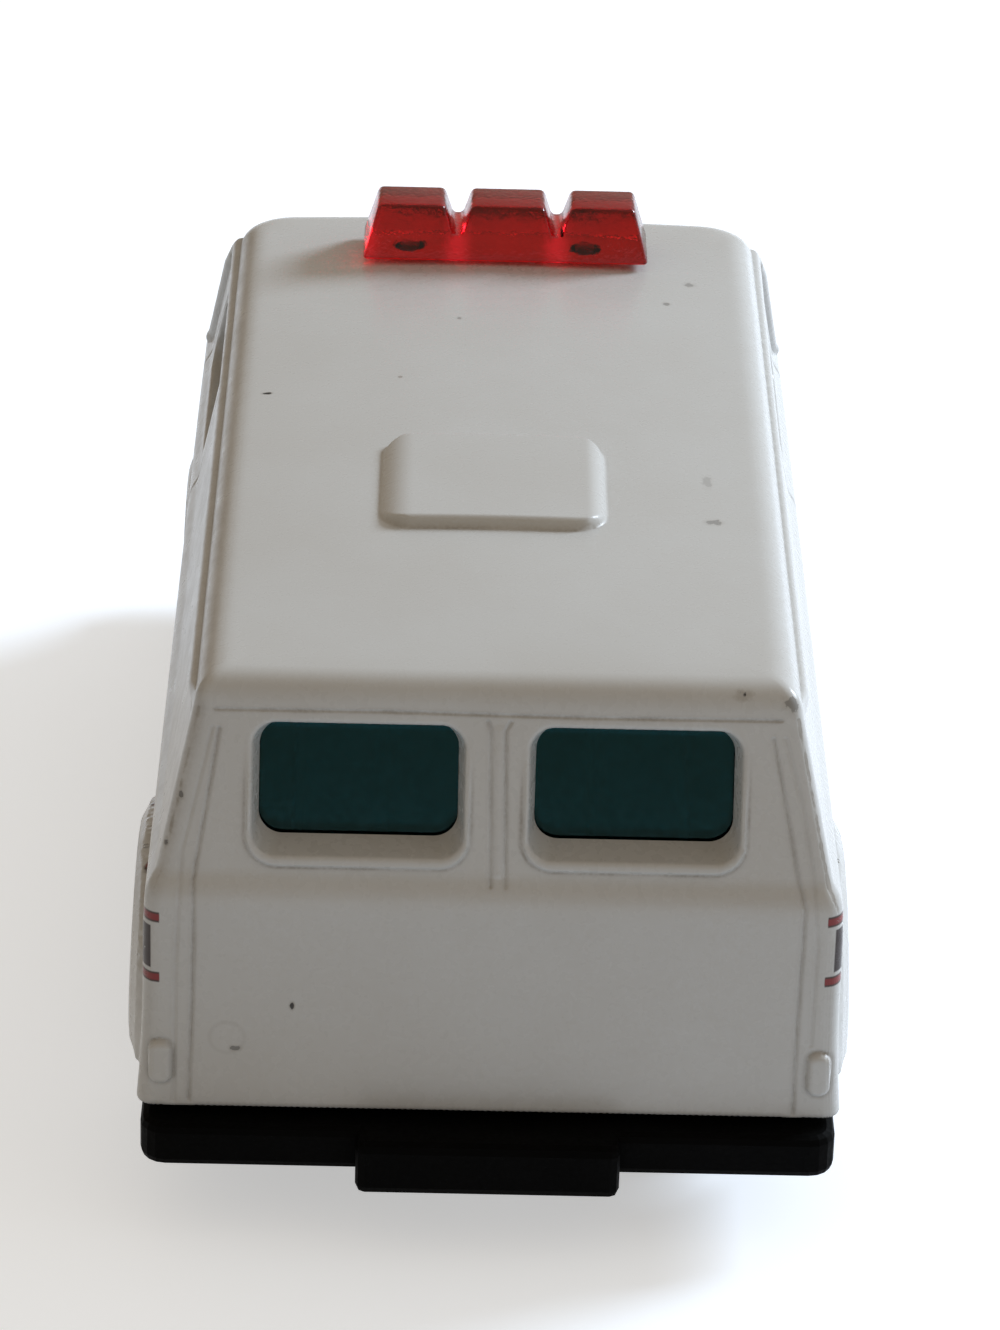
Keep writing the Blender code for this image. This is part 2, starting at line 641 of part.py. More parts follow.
def arch_shapes():
    """Swellings of the flanks round the wheel arches, and the arches that are cut through them."""
    lips = []
    arches = []
    rise = AXLE_Z + ARCH_RADIUS - BODY_GROUND
    for x, place, proud, run in (
        (FRONT_AXLE_X, "front", FLARE_FRONT, FLARE_RUN_FRONT),
        (REAR_AXLE_X, "rear", FLARE_REAR, FLARE_RUN_REAR),
    ):
        for side, hand in ((1, "left"), (-1, "right")):
            name = place + "_" + hand
            rings = []
            for y, beside, above in (
                (HALF - WALL * 0.8, run, FLARE_WIDTH),
                (HALF + proud * 0.5, run * 0.6, FLARE_WIDTH * 0.75),
                (HALF + proud * 0.88, run * 0.25, FLARE_WIDTH * 0.2),
                (HALF + proud, 0.0, -rise * 0.2),
            ):
                turns = [math.pi * k / (ROUND_STEPS // 2) for k in range(ROUND_STEPS // 2 + 1)]
                rings.append([
                    Vector((x + (ARCH_RADIUS + beside) * math.cos(t), side * y, BODY_GROUND + (rise + above) * math.sin(t)))
                    for t in turns
                ])
            lips.append(make_object(name + "_lip", loft_mesh(name + "_lip", rings)))
            arches.append(
                cylinder(
                    name + "_arch",
                    ARCH_RADIUS,
                    (x, side * (WHEEL_INNER_Y - FIT_GAP), AXLE_Z),
                    (x, side * (HALF + 2 * WALL), AXLE_Z),
                    ROUND_STEPS,
                )
            )
    return lips, arches


def rivet_posts():
    posts = []
    holes = []
    for x, name in ((FRONT_POST_X, "front_post"), (REAR_POST_X, "rear_post")):
        top = BODY_GROUND + RIVET_REACH + POST_ROOF
        posts.append(cylinder(name, POST_RADIUS, (x, 0, BODY_GROUND), (x, 0, top)))
        holes.append(
            cylinder(
                name + "_hole",
                RIVET_RADIUS + RIVET_GAP,
                (x, 0, BODY_GROUND - WALL),
                (x, 0, BODY_GROUND + RIVET_REACH + RIVET_GAP),
            )
        )
    return posts, holes


def roof_hatch():
    middle = REAR_X + HATCH_SETBACK + HATCH_LENGTH / 2
    rings = []
    flare = (HATCH_LENGTH - HATCH_TOP_LENGTH, HATCH_WIDTH - HATCH_TOP_WIDTH)
    for up, grow in ((-WALL * 0.6, 1.0), (0.0, 1.0), (HATCH_RISE * 0.75, 0.25), (HATCH_RISE, 0.0)):
        length = HATCH_TOP_LENGTH + flare[0] * grow
        width = HATCH_TOP_WIDTH + flare[1] * grow
        outline = rounded_outline(rectangle(length, width), HATCH_CORNER)
        rings.append([Vector((middle + p[0], p[1], ROOF_TOP - ROOF_CROWN * 0.2 + up)) for p in outline])
    return make_object("roof_hatch", loft_mesh("roof_hatch", rings))


def front_face():
    """Grille recess with bars, and two round lamps, in the nose of the casting."""
    low = BODY_GROUND + GRILLE_UP
    high = low + GRILLE_HEIGHT
    recess = box(
        "grille_recess",
        (NOSE_X - NOSE_BOW * 0.6 - GRILLE_DEPTH, -GRILLE_WIDTH / 2, low),
        (NOSE_X + WALL, GRILLE_WIDTH / 2, high),
    )
    bars = []
    pitch = GRILLE_HEIGHT / (GRILLE_BARS + 1)
    for k in range(GRILLE_BARS):
        z = low + pitch * (k + 1)
        bars.append(
            box(
                "grille_bar_%d" % (k + 1),
                (NOSE_X - NOSE_BOW - GRILLE_DEPTH - WALL * 0.3, -GRILLE_WIDTH / 2 - WALL * 0.3, z - GRILLE_BAR / 2),
                (NOSE_X - NOSE_BOW * 0.55, GRILLE_WIDTH / 2 + WALL * 0.3, z + GRILLE_BAR / 2),
            )
        )
    lamps = []
    for side in (1, -1):
        z = low + GRILLE_HEIGHT / 2
        lamp = cylinder(
            "headlamp_left" if side > 0 else "headlamp_right",
            HEADLAMP_RADIUS,
            (NOSE_X - NOSE_BOW - WALL, side * HEADLAMP_Y, z),
            (NOSE_X - NOSE_BOW * 0.9 + HEADLAMP_PROUD, side * HEADLAMP_Y, z),
            24,
        )
        bevel(lamp, HEADLAMP_PROUD * 0.5, 2)
        lamps.append(lamp)
    return recess, bars, lamps


def make_body():
    outer = [plan_ring(level) for level in LEVELS]
    body = make_object("body_shell", loft_mesh("body_shell", outer, smooth=True), PARTS, white_enamel)
    inner = [plan_ring(LEVELS[0], WALL, -2 * WALL)]
    inner += [plan_ring(level, WALL, lowered(level[0], WALL)) for level in LEVELS]
    hollow = make_object("body_hollow", loft_mesh("body_hollow", inner))
    lips, arches = arch_shapes()
    posts, post_holes = rivet_posts()
    panes, frames = window_cutters()
    recess, bars, lamps = front_face()
    tails = [
        ellipsoid(
            "tail_lamp_left" if side > 0 else "tail_lamp_right",
            (REAR_X, side * TAIL_Y, BODY_GROUND + TAIL_UP),
            (TAIL_PROUD, TAIL_WIDTH / 2, TAIL_HEIGHT / 2),
        )
        for side in (1, -1)
    ]
    peg_holes = [
        cylinder(
            "peg_hole_left" if side > 0 else "peg_hole_right",
            PEG_RADIUS + PEG_GAP,
            (BAR_X, side * PEG_Y, ROOF_TOP - 3 * WALL),
            (BAR_X, side * PEG_Y, ROOF_TOP + WALL),
        )
        for side in (1, -1)
    ]
    join(body, *lips)
    join(body, *frames)
    join(body, roof_hatch())
    cut(body, hollow)
    join(body, *posts)
    cut(body, recess)
    join(body, *bars)
    join(body, *lamps)
    join(body, *tails)
    join(body, *drip_rails())
    cut(body, *panes)
    cut(body, *arches)
    cut(body, *peg_holes)
    cut(body, *post_holes)
    return body


# Tinted glazing: a hat that lines the cab behind the panes


def make_glazing():
    gap = WALL + FIT_GAP
    low = blend_level(SHOULDER, ROOF_EDGE, GLASS_BELOW / GREENHOUSE_RISE)

    def skin(inset, under):
        rings = [plan_ring(low, inset, low[0] - under)]
        rings += [plan_ring(level, inset, lowered(level[0], inset)) for level in LEVELS[4 + ARC_STEPS:]]
        return rings

    outer = skin(gap, 0.0)
    glazing = make_object("window_glazing", loft_mesh("window_glazing", outer, smooth=True), PARTS, tinted_clear)
    hollow = make_object("glazing_hollow", loft_mesh("glazing_hollow", skin(gap + GLASS, GLASS)))
    door_rear = NOSE_X - DOOR_PANE_FRONT - DOOR_PANE_LENGTH
    gap_front = door_rear - 2 * WALL
    gap_rear = REAR_X + ROOF_EDGE[1] + gap + 2 * GLASS + WALL
    roof_under = BODY_GROUND + lowered(EDGE_UP, gap)
    panel_gap = box(
        "glazing_panel_gap",
        (gap_rear, -BODY_WIDTH, BODY_GROUND + BELT_UP),
        (gap_front, BODY_WIDTH, roof_under),
    )
    cut(glazing, hollow, panel_gap)
    for side in (1, -1):
        hole = cylinder(
            "glazing_peg_hole_left" if side > 0 else "glazing_peg_hole_right",
            PEG_RADIUS + FIT_GAP + PEG_GAP,
            (BAR_X, side * PEG_Y, ROOF_TOP - 6 * WALL),
            (BAR_X, side * PEG_Y, ROOF_TOP),
        )
        cut(glazing, hole)
    return glazing


# Red light bar


def make_light_bar():
    seat = ROOF_TOP + FIT_GAP * 0.5
    rings = []
    for up, length, width in ((0.0, BAR_LENGTH, BAR_WIDTH), (BAR_RISE, BAR_TOP_LENGTH, BAR_TOP_WIDTH)):
        outline = rectangle(length, width)
        rings.append([Vector((BAR_X + p[0], p[1], seat + up)) for p in outline])
    bar = make_object("roof_light_bar", loft_mesh("roof_light_bar", rings), PARTS, red_clear)
    bevel(bar, BAR_EDGE, 2, 25.0)
    for side in (1, -1):
        hand = "left" if side > 0 else "right"
        reach = BAR_LENGTH
        top = seat + BAR_RISE
        slope = (NOTCH_TOP - NOTCH_BOTTOM) / NOTCH_DEPTH
        over = BAR_EDGE * 2
        outline = [
            (side * NOTCH_Y - NOTCH_TOP / 2 - slope * over / 2, top + over),
            (side * NOTCH_Y - NOTCH_BOTTOM / 2, top - NOTCH_DEPTH),
            (side * NOTCH_Y + NOTCH_BOTTOM / 2, top - NOTCH_DEPTH),
            (side * NOTCH_Y + NOTCH_TOP / 2 + slope * over / 2, top + over),
        ]
        ends = [[Vector((x, y, z)) for y, z in outline] for x in (BAR_X - reach, BAR_X + reach)]
        notch = make_object("notch_" + hand, loft_mesh("notch_" + hand, ends))
        bevel(notch, NOTCH_BOTTOM * 0.35, 2, 25.0)
        cut(bar, notch)
        peg = cylinder(
            "peg_" + hand,
            PEG_RADIUS,
            (BAR_X, side * PEG_Y, ROOF_TOP - ROOF_CROWN - WALL - PEG_BELOW),
            (BAR_X, side * PEG_Y, seat + BAR_EDGE),
        )
        join(bar, peg)
    return bar


# Base


def make_base():
    rear = REAR_X - BUMPER_REACH_REAR
    front = NOSE_X + BUMPER_REACH_FRONT
    half = HALF + SILL_SPREAD - BASE_SIDE_IN
    rings = []
    for degrees in (0, 45, 90):
        inset = BUMPER_EDGE * (1 - math.sin(math.radians(degrees)))
        rise = BUMPER_EDGE * (1 - math.cos(math.radians(degrees)))
        corners = [
            (rear + inset, -half + inset),
            (front - inset, -half + inset),
            (front - inset, half - inset),
            (rear + inset, half - inset),
        ]
        outline = rounded_outline(corners, BUMPER_CORNER - inset)
        rings.append((outline, rise))
    levels = [(outline, BASE_BOTTOM + rise) for outline, rise in rings]
    levels += [(outline, BASE_TOP - rise) for outline, rise in reversed(rings)]
    skin = loft_mesh("chassis_base", [[(p[0], p[1], z) for p in outline] for outline, z in levels])
    base = make_object("chassis_base", skin, PARTS, black_plastic)

    step = box(
        "rear_step",
        (rear - STEP_REACH, -STEP_WIDTH / 2, BASE_BOTTOM - STEP_DROP),
        (rear + STEP_DEPTH, STEP_WIDTH / 2, BASE_TOP),
    )
    bevel(step, STEP_EDGE, 2)
    pad_outline = rounded_outline(rectangle(PAD_LENGTH, PAD_WIDTH), PAD_CORNER)
    middle = (FRONT_AXLE_X + REAR_AXLE_X) / 2
    pad_outline = [(p[0] + middle, p[1]) for p in pad_outline]
    pad = outline_object("belly_pad", pad_outline, BASE_BOTTOM - PAD_DROP, BASE_TOP - BASE_THICKNESS / 2)
    join(base, step, pad)

    beam_half = WHEEL_INNER_Y
    for x, name in ((FRONT_AXLE_X, "front"), (REAR_AXLE_X, "rear")):
        beam = box(
            name + "_beam",
            (x - BEAM_LENGTH / 2, -beam_half, BASE_TOP - BASE_THICKNESS / 2),
            (x + BEAM_LENGTH / 2, beam_half, BEAM_TOP),
        )
        join(base, beam)

    # Locating rib that stands inside the casting, along both flanks; the wheel openings trim its ends
    rib_outer = HALF - WALL - FIT_GAP
    for side, hand in ((1, "left"), (-1, "right")):
        near, far = sorted((side * rib_outer, side * (rib_outer - SILL_WALL)))
        rib = box(
            "locating_rib_" + hand,
            (REAR_AXLE_X, near, BASE_TOP - BASE_THICKNESS / 2),
            (FRONT_AXLE_X, far, BASE_TOP + SILL_HEIGHT),
        )
        join(base, rib)

    # Drive shaft relief from the belly pad to both axle beams
    for x, name in ((FRONT_AXLE_X, "front"), (REAR_AXLE_X, "rear")):
        shaft = cylinder(name + "_shaft", SHAFT_RADIUS, (middle, 0, BASE_BOTTOM), (x, 0, BASE_BOTTOM), 16)
        join(base, shaft)

    reach = ARCH_RADIUS
    for x, place in ((FRONT_AXLE_X, "front"), (REAR_AXLE_X, "rear")):
        for side, hand in ((1, "left"), (-1, "right")):
            near, far = sorted((side * (WHEEL_INNER_Y - SIDE_PLAY), side * (HALF + WALL)))
            opening = box(
                place + "_" + hand + "_opening",
                (x - reach, near, BASE_BOTTOM - WALL),
                (x + reach, far, BEAM_TOP + WALL),
            )
            cut(base, opening)
        slot_radius = AXLE_RADIUS + RUNNING_GAP
        slot = cylinder(place + "_slot", slot_radius, (x, -HALF, AXLE_Z), (x, HALF, AXLE_Z))
        channel = box(
            place + "_channel",
            (x - slot_radius, -HALF, AXLE_Z),
            (x + slot_radius, HALF, BEAM_TOP + WALL),
        )
        cut(base, slot, channel)
    for x, name in ((FRONT_POST_X, "front"), (REAR_POST_X, "rear")):
        through = cylinder(
            name + "_rivet_hole",
            RIVET_RADIUS + RIVET_GAP,
            (x, 0, BASE_BOTTOM - STEP_DROP - WALL),
            (x, 0, BASE_TOP + WALL),
        )
        sink = cylinder(
            name + "_rivet_sink",
            RIVET_HEAD_RADIUS + RIVET_GAP,
            (x, 0, BASE_BOTTOM - STEP_DROP - WALL),
            (x, 0, BASE_BOTTOM + RIVET_SINK),
        )
        cut(base, through, sink)
    return base


# Interior moulding: floor, two front seats, side benches, dashboard and steering wheel


def make_interior():
    rear = REAR_POST_X + POST_RADIUS + TRAY_END_GAP
    front = FRONT_POST_X - POST_RADIUS - TRAY_END_GAP
    tray = box(
        "interior_tray",
        (rear, -TRAY_HALF, TRAY_BOTTOM),
        (front, TRAY_HALF, TRAY_TOP),
        PARTS,
        grey_plastic,
    )
    sink = TRAY_FLOOR / 2
    seat_rear = FRONT_AXLE_X - SEAT_X
    for side, hand in ((1, "left"), (-1, "right")):
        y0, y1 = side * SEAT_Y - SEAT_WIDTH / 2, side * SEAT_Y + SEAT_WIDTH / 2
        cushion = box(
            "seat_cushion_" + hand,
            (seat_rear, y0, TRAY_TOP - sink),
            (seat_rear + SEAT_LENGTH, y1, TRAY_TOP + SEAT_BASE_UP),
        )
        back = box(
            "seat_back_" + hand,
            (seat_rear - SEAT_BACK * 0.6, y0, TRAY_TOP - sink),
            (seat_rear + SEAT_BACK * 0.4, y1, TRAY_TOP + SEAT_BACK_UP),
        )
        bench_end = seat_rear - SEAT_BACK - WALL
        near, far = sorted((side * TRAY_HALF, side * (TRAY_HALF - BENCH_WIDTH)))
        bench = box(
            "bench_" + hand,
            (rear + BENCH_REAR_GAP, near, TRAY_TOP - sink),
            (bench_end, far, TRAY_TOP + BENCH_UP),
        )
        bevel(cushion, SEAT_EDGE, 2)
        bevel(back, SEAT_EDGE, 2)
        bevel(bench, SEAT_EDGE, 1)
        join(tray, cushion, back, bench)
    dash = box(
        "dashboard",
        (front - DASH_LENGTH, -TRAY_HALF, TRAY_TOP - sink),
        (front, TRAY_HALF, TRAY_TOP + DASH_UP),
    )
    bevel(dash, SEAT_EDGE, 2)
    join(tray, dash)

    foot = Vector((front - DASH_LENGTH / 2, SEAT_Y, TRAY_TOP + DASH_UP - SEAT_EDGE * 2))
    lean = Vector((-math.sin(COLUMN_TILT), 0, math.cos(COLUMN_TILT)))
    hub = foot + lean * (DASH_LENGTH * 0.9)
    column = cylinder("steering_column", COLUMN_RADIUS, foot, hub + lean * WHEEL_RIM_WIRE, 12)
    disc = cylinder("steering_wheel", WHEEL_RIM, hub, hub + lean * WHEEL_RIM_WIRE * 2, 24)
    join(tray, column, disc)
    for x, name in ((FRONT_AXLE_X, "front"), (REAR_AXLE_X, "rear")):
        half = AXLE_RADIUS + RUNNING_GAP - RETAINER_GAP
        retainer = box(
            name + "_retainer",
            (x - half, -TRAY_HALF + SIDE_PLAY, AXLE_Z + AXLE_RADIUS + RETAINER_GAP),
            (x + half, TRAY_HALF - SIDE_PLAY, TRAY_BOTTOM + sink),
        )
        join(tray, retainer)
    return tray


# Turned pieces


def wheel_profile():
    """Section of a one-piece wheel, outer face up, run from the bore's outer end round the tyre and back."""
    half = WHEEL_WIDTH / 2
    bore = AXLE_RADIUS + RUNNING_GAP * 1.4
    rim_in = RIM_RADIUS * 0.9
    profile = [
        (bore, half - RIM_DEPTH * 0.5),
        (WHEEL_BOSS, half - RIM_DEPTH * 0.5),
        (WHEEL_BOSS * 1.25, half - RIM_DEPTH),
        (rim_in, half - RIM_DEPTH),
        (RIM_RADIUS, half),
    ]
    for k in range(4):
        turn = math.radians(90.0) * k / 3
        profile.append(
            (
                WHEEL_RADIUS - TYRE_ROUND * (1.0 - math.sin(turn)),
                half - TYRE_ROUND * (1.0 - math.cos(turn)),
            )
        )
    for k in range(3):
        turn = math.radians(90.0) * k / 2
        profile.append(
            (
                WHEEL_RADIUS - TYRE_ROUND * (1.0 - math.cos(turn)),
                -half + TYRE_ROUND * (1.0 - math.sin(turn)),
            )
        )
    profile += [
        (RIM_RADIUS * 1.15, -half),
        (RIM_RADIUS * 1.1, -half + WELL_DEPTH),
        (WHEEL_BOSS, -half + WELL_DEPTH),
        (WHEEL_BOSS, -half),
        (bore, -half),
    ]
    return profile


def make_wheels():
    wheels = []
    middle = WHEEL_INNER_Y + WHEEL_WIDTH / 2
    for x, place in ((FRONT_AXLE_X, "front"), (REAR_AXLE_X, "rear")):
        for side, hand in ((1, "left"), (-1, "right")):
            name = "wheel_%s_%s" % (place, hand)
            wheel = turned(name, wheel_profile(), ROUND_STEPS, PARTS, wheel_plastic, closed=True)
            wheel.location = (x, side * middle, AXLE_Z)
            wheel.rotation_euler = (math.radians(-90.0 * side), 0.0, 0.0)
            wheels.append(wheel)
    return wheels


def make_axles():
    """Wire axles whose formed heads keep the wheels on."""
    half = WHEEL_OUTER_Y - RIM_DEPTH * 0.5 + SIDE_PLAY
    profile = []
    for k in range(4):
        turn = math.radians(90.0) * k / 3
        profile.append((AXLE_HEAD_RADIUS * math.sin(turn), half + AXLE_HEAD_RISE * math.cos(turn)))
    profile += [(AXLE_RADIUS, half), (AXLE_RADIUS, -half)]
    for k in range(4):
        turn = math.radians(90.0) * k / 3
        profile.append((AXLE_HEAD_RADIUS * math.cos(turn), -half - AXLE_HEAD_RISE * math.sin(turn)))
    profile[0] = (0.0, profile[0][1])
    profile[-1] = (0.0, profile[-1][1])
    axles = []
    for x, name in ((FRONT_AXLE_X, "front_axle"), (REAR_AXLE_X, "rear_axle")):
        axle = turned(name, profile, SMALL_STEPS, PARTS, bright_steel)
        axle.location = (x, 0.0, AXLE_Z)
        axle.rotation_euler = (math.radians(-90.0), 0.0, 0.0)
        axles.append(axle)
    return axles


def make_rivets():
    """Headed rivets from under the base into the posts of the casting."""
    seat = BASE_BOTTOM + RIVET_SINK - RIVET_GAP
    tip = BODY_GROUND + RIVET_REACH - RIVET_GAP
    chamfer = RIVET_RADIUS * 0.3
    profile = [
        (0.0, tip),
        (RIVET_RADIUS - chamfer, tip),
        (RIVET_RADIUS, tip - chamfer),
        (RIVET_RADIUS, seat),
        (RIVET_HEAD_RADIUS, seat),
    ]
    for k in range(1, 4):
        turn = math.radians(90.0) * k / 3
        profile.append((RIVET_HEAD_RADIUS * math.cos(turn), seat - RIVET_HEAD * math.sin(turn)))
    profile[-1] = (0.0, profile[-1][1])
    rivets = []
    for x, name in ((FRONT_POST_X, "front_rivet"), (REAR_POST_X, "rear_rivet")):
        rivet = turned(name, profile, SMALL_STEPS, PARTS, bright_steel)
        rivet.location = (x, 0.0, 0.0)
        rivets.append(rivet)
    return rivets


make_body()
make_glazing()
make_light_bar()
make_base()
make_interior()
make_wheels()
make_axles()
make_rivets()
print("van built:", len(PARTS.objects), "pieces,", round(OVERALL_LENGTH / MM, 2), "mm long")
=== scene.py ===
import json
import math

import bmesh
import bpy
import numpy as np
from mathutils import Matrix, Vector

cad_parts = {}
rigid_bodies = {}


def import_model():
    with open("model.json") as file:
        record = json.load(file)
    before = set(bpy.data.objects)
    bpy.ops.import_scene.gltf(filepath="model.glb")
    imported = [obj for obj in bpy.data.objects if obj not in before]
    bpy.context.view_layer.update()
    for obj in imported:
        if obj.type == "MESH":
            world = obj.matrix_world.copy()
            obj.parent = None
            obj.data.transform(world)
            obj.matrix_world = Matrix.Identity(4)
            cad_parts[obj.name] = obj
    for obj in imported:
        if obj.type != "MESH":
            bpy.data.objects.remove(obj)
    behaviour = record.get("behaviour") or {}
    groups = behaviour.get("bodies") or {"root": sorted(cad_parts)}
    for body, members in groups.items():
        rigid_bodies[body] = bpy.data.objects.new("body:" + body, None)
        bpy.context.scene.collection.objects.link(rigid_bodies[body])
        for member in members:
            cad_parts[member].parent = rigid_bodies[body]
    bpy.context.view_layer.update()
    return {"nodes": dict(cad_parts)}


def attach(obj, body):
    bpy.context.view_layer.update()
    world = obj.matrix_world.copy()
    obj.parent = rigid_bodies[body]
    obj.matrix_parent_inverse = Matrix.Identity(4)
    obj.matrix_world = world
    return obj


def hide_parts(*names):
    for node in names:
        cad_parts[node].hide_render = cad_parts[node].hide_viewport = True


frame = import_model()
scene = bpy.context.scene
mm = 0.001  # shapes below are drawn in millimetres
print("frame:", len(frame["nodes"]), "nodes")

# camera, light and floor

viewpoint = {
    "place": (-227.44, 3.15, 127.91),
    "heading": -0.896,  # degrees
    "dip": 27.0,
    "roll": 1.65,
    "lens": 149.18,
    "sensor": 36.0,
}


def setCamera():
    heading, dip, roll = (math.radians(viewpoint[key]) for key in ("heading", "dip", "roll"))
    ahead = Vector((math.cos(dip) * math.cos(heading), math.cos(dip) * math.sin(heading), -math.sin(dip)))
    right = ahead.cross(Vector((0, 0, 1))).normalized()
    up = right.cross(ahead)
    across = right * math.cos(roll) + up * math.sin(roll)
    over = up * math.cos(roll) - right * math.sin(roll)
    data = bpy.data.cameras.new("photoCamera")
    data.lens = viewpoint["lens"]
    data.sensor_width = viewpoint["sensor"]
    data.clip_start = 0.01
    data.clip_end = 20.0
    camera = bpy.data.objects.new("photoCamera", data)
    turn = Matrix((across, over, -ahead)).transposed().to_4x4()
    camera.matrix_world = Matrix.Translation(Vector(viewpoint["place"]) * mm) @ turn
    scene.collection.objects.link(camera)
    scene.camera = camera


def addNode(tree, kind, where=(0, 0), **settings):
    node = tree.nodes.new(kind)
    node.location = where
    for key, value in settings.items():
        setattr(node, key, value)
    return node


def wire(tree, source, target):
    tree.links.new(source, target)


def feed(tree, value, socket):
    if hasattr(value, "is_output"):
        wire(tree, value, socket)
    else:
        socket.default_value = value


def mathNode(tree, operation, first, second=None, third=None, clamp=False):
    node = addNode(tree, "ShaderNodeMath", operation=operation, use_clamp=clamp)
    for index, value in enumerate((first, second, third)):
        if value is not None:
            feed(tree, value, node.inputs[index])
    return node.outputs[0]


stageLook = {
    "floorSize": 6.0,
    "floorTone": (0.75, 0.81, 0.89),
    "floorLift": 0.48,  # extra for the camera and for reflections, so that the floor reads as white
    "keyDirection": (0.47, -0.79, 0.40),  # towards the bright side of the room
    "roomStops": (
        (0.00, (0.26, 0.20, 0.14)),
        (0.30, (0.39, 0.34, 0.27)),
        (0.64, (0.33, 0.26, 0.19)),
        (0.86, (0.51, 0.48, 0.43)),
        (1.00, (0.80, 0.83, 0.88)),
    ),
    "roomStrength": 1.0,
    "keyPlace": (0.264, -0.447, 0.30),
    "keyAim": (0.0, 0.0, 0.012),
    "keySize": 0.2,
    "keyPower": 3.1,
    "keyTint": (0.87, 1.00, 1.14),
}


def addKeyLamp():
    look = stageLook
    data = bpy.data.lights.new("keyLamp", "AREA")
    data.shape = "DISK"
    data.size = look["keySize"]
    data.energy = look["keyPower"]
    data.color = look["keyTint"]
    lamp = bpy.data.objects.new("keyLamp", data)
    lamp.location = look["keyPlace"]
    aim = Vector(look["keyAim"]) - Vector(look["keyPlace"])
    lamp.rotation_euler = aim.to_track_quat("-Z", "Y").to_euler()
    scene.collection.objects.link(lamp)


def setStage():
    world = bpy.data.worlds.new("room")
    world.use_nodes = True
    scene.world = world
    tree = world.node_tree
    back = tree.nodes["Background"]
    coord = addNode(tree, "ShaderNodeTexCoord", (-900, 0))
    lean = addNode(tree, "ShaderNodeVectorMath", (-700, 0), operation="DOT_PRODUCT")
    lean.inputs[1].default_value = Vector(stageLook["keyDirection"]).normalized()
    wire(tree, coord.outputs["Generated"], lean.inputs[0])
    share = mathNode(tree, "MULTIPLY_ADD", lean.outputs["Value"], 0.5, 0.5)
    ramp = addNode(tree, "ShaderNodeValToRGB", (-300, 0))
    stops = stageLook["roomStops"]
    for index, (at, colour) in enumerate(stops):
        stop = ramp.color_ramp.elements[index] if index < 2 else ramp.color_ramp.elements.new(at)
        stop.position = at
        stop.color = (*colour, 1.0)
    wire(tree, share, ramp.inputs[0])
    wire(tree, ramp.outputs[0], back.inputs["Color"])
    back.inputs["Strength"].default_value = stageLook["roomStrength"]
    addKeyLamp()

    bpy.ops.mesh.primitive_plane_add(size=stageLook["floorSize"])
    floor = bpy.context.object
    floor.name = "paleFloor"
    material = bpy.data.materials.new("paleFloor")
    material.use_nodes = True
    tree = material.node_tree
    shader = tree.nodes["Principled BSDF"]
    shader.inputs["Base Color"].default_value = (*stageLook["floorTone"], 1.0)
    shader.inputs["Roughness"].default_value = 0.9
    shader.inputs["Specular IOR Level"].default_value = 0.1
    shader.inputs["Emission Color"].default_value = (1.0, 1.0, 1.0, 1.0)
    path = addNode(tree, "ShaderNodeLightPath", (-700, -300))
    seen = mathNode(tree, "MAXIMUM", path.outputs["Is Camera Ray"], path.outputs["Is Glossy Ray"])
    seen = mathNode(tree, "MAXIMUM", seen, path.outputs["Is Transmission Ray"])
    lift = mathNode(tree, "MULTIPLY", seen, stageLook["floorLift"])
    wire(tree, lift, shader.inputs["Emission Strength"])
    floor.data.materials.append(material)


setCamera()
setStage()
scene.view_settings.view_transform = "Standard"
print("stage: camera, room light and floor")

# mesh helpers


def loftFaces(levels, count):
    faces = []
    for level in range(levels - 1):
        base = level * count
        for i in range(count):
            j = (i + 1) % count
            faces.append((base + i, base + j, base + count + j, base + count + i))
    faces.append(tuple(reversed(range(count))))
    faces.append(tuple(range((levels - 1) * count, levels * count)))
    return faces


def rawObject(name, points, faces, kind=0):
    mesh = bpy.data.meshes.new(name)
    mesh.from_pydata([tuple(p) for p in points], [], faces)
    bm = bmesh.new()
    bm.from_mesh(mesh)
    bmesh.ops.recalc_face_normals(bm, faces=bm.faces)
    bm.to_mesh(mesh)
    bm.free()
    for _ in range(4):
        mesh.materials.append(None)
    mesh.polygons.foreach_set("material_index", np.full(len(mesh.polygons), kind, dtype=np.int32))
    item = bpy.data.objects.new(name, mesh)
    scene.collection.objects.link(item)
    return item


def loft(name, rings, kind=0):
    rings = [np.asarray(ring, dtype=float) for ring in rings]
    return rawObject(name, np.concatenate(rings), loftFaces(len(rings), len(rings[0])), kind)


def ringPoints(centre, side, other, radius, steps):
    turns = [2 * math.pi * k / steps for k in range(steps)]
    return [centre + side * (radius * math.cos(t)) + other * (radius * math.sin(t)) for t in turns]


def rodItem(name, radius, start, end, steps, kind=0):
    start, end = Vector(start), Vector(end)
    along = (end - start).normalized()
    side = along.orthogonal().normalized()
    other = along.cross(side)
    return loft(name, [ringPoints(centre, side, other, radius, steps) for centre in (start, end)], kind)


def settle(item):
    view = bpy.context.view_layer
    view.update()
    mesh = bpy.data.meshes.new_from_object(item.evaluated_get(bpy.context.evaluated_depsgraph_get()))
    old = item.data
    item.modifiers.clear()
    item.data = mesh
    bpy.data.meshes.remove(old)


def combine(item, others, operation):
    for other in others:
        step = item.modifiers.new("shape", "BOOLEAN")
        step.operation = operation
        step.solver = "EXACT"
        step.material_mode = "INDEX"
        step.object = other
    settle(item)
    for other in others:
        old = other.data
        bpy.data.objects.remove(other, do_unlink=True)
        bpy.data.meshes.remove(old)


def softEdges(item, width, segments, angle=25.0):
    step = item.modifiers.new("softEdges", "BEVEL")
    step.width = width
    step.segments = segments
    step.limit_method = "ANGLE"
    step.angle_limit = math.radians(angle)
    step.use_clamp_overlap = True
    settle(item)


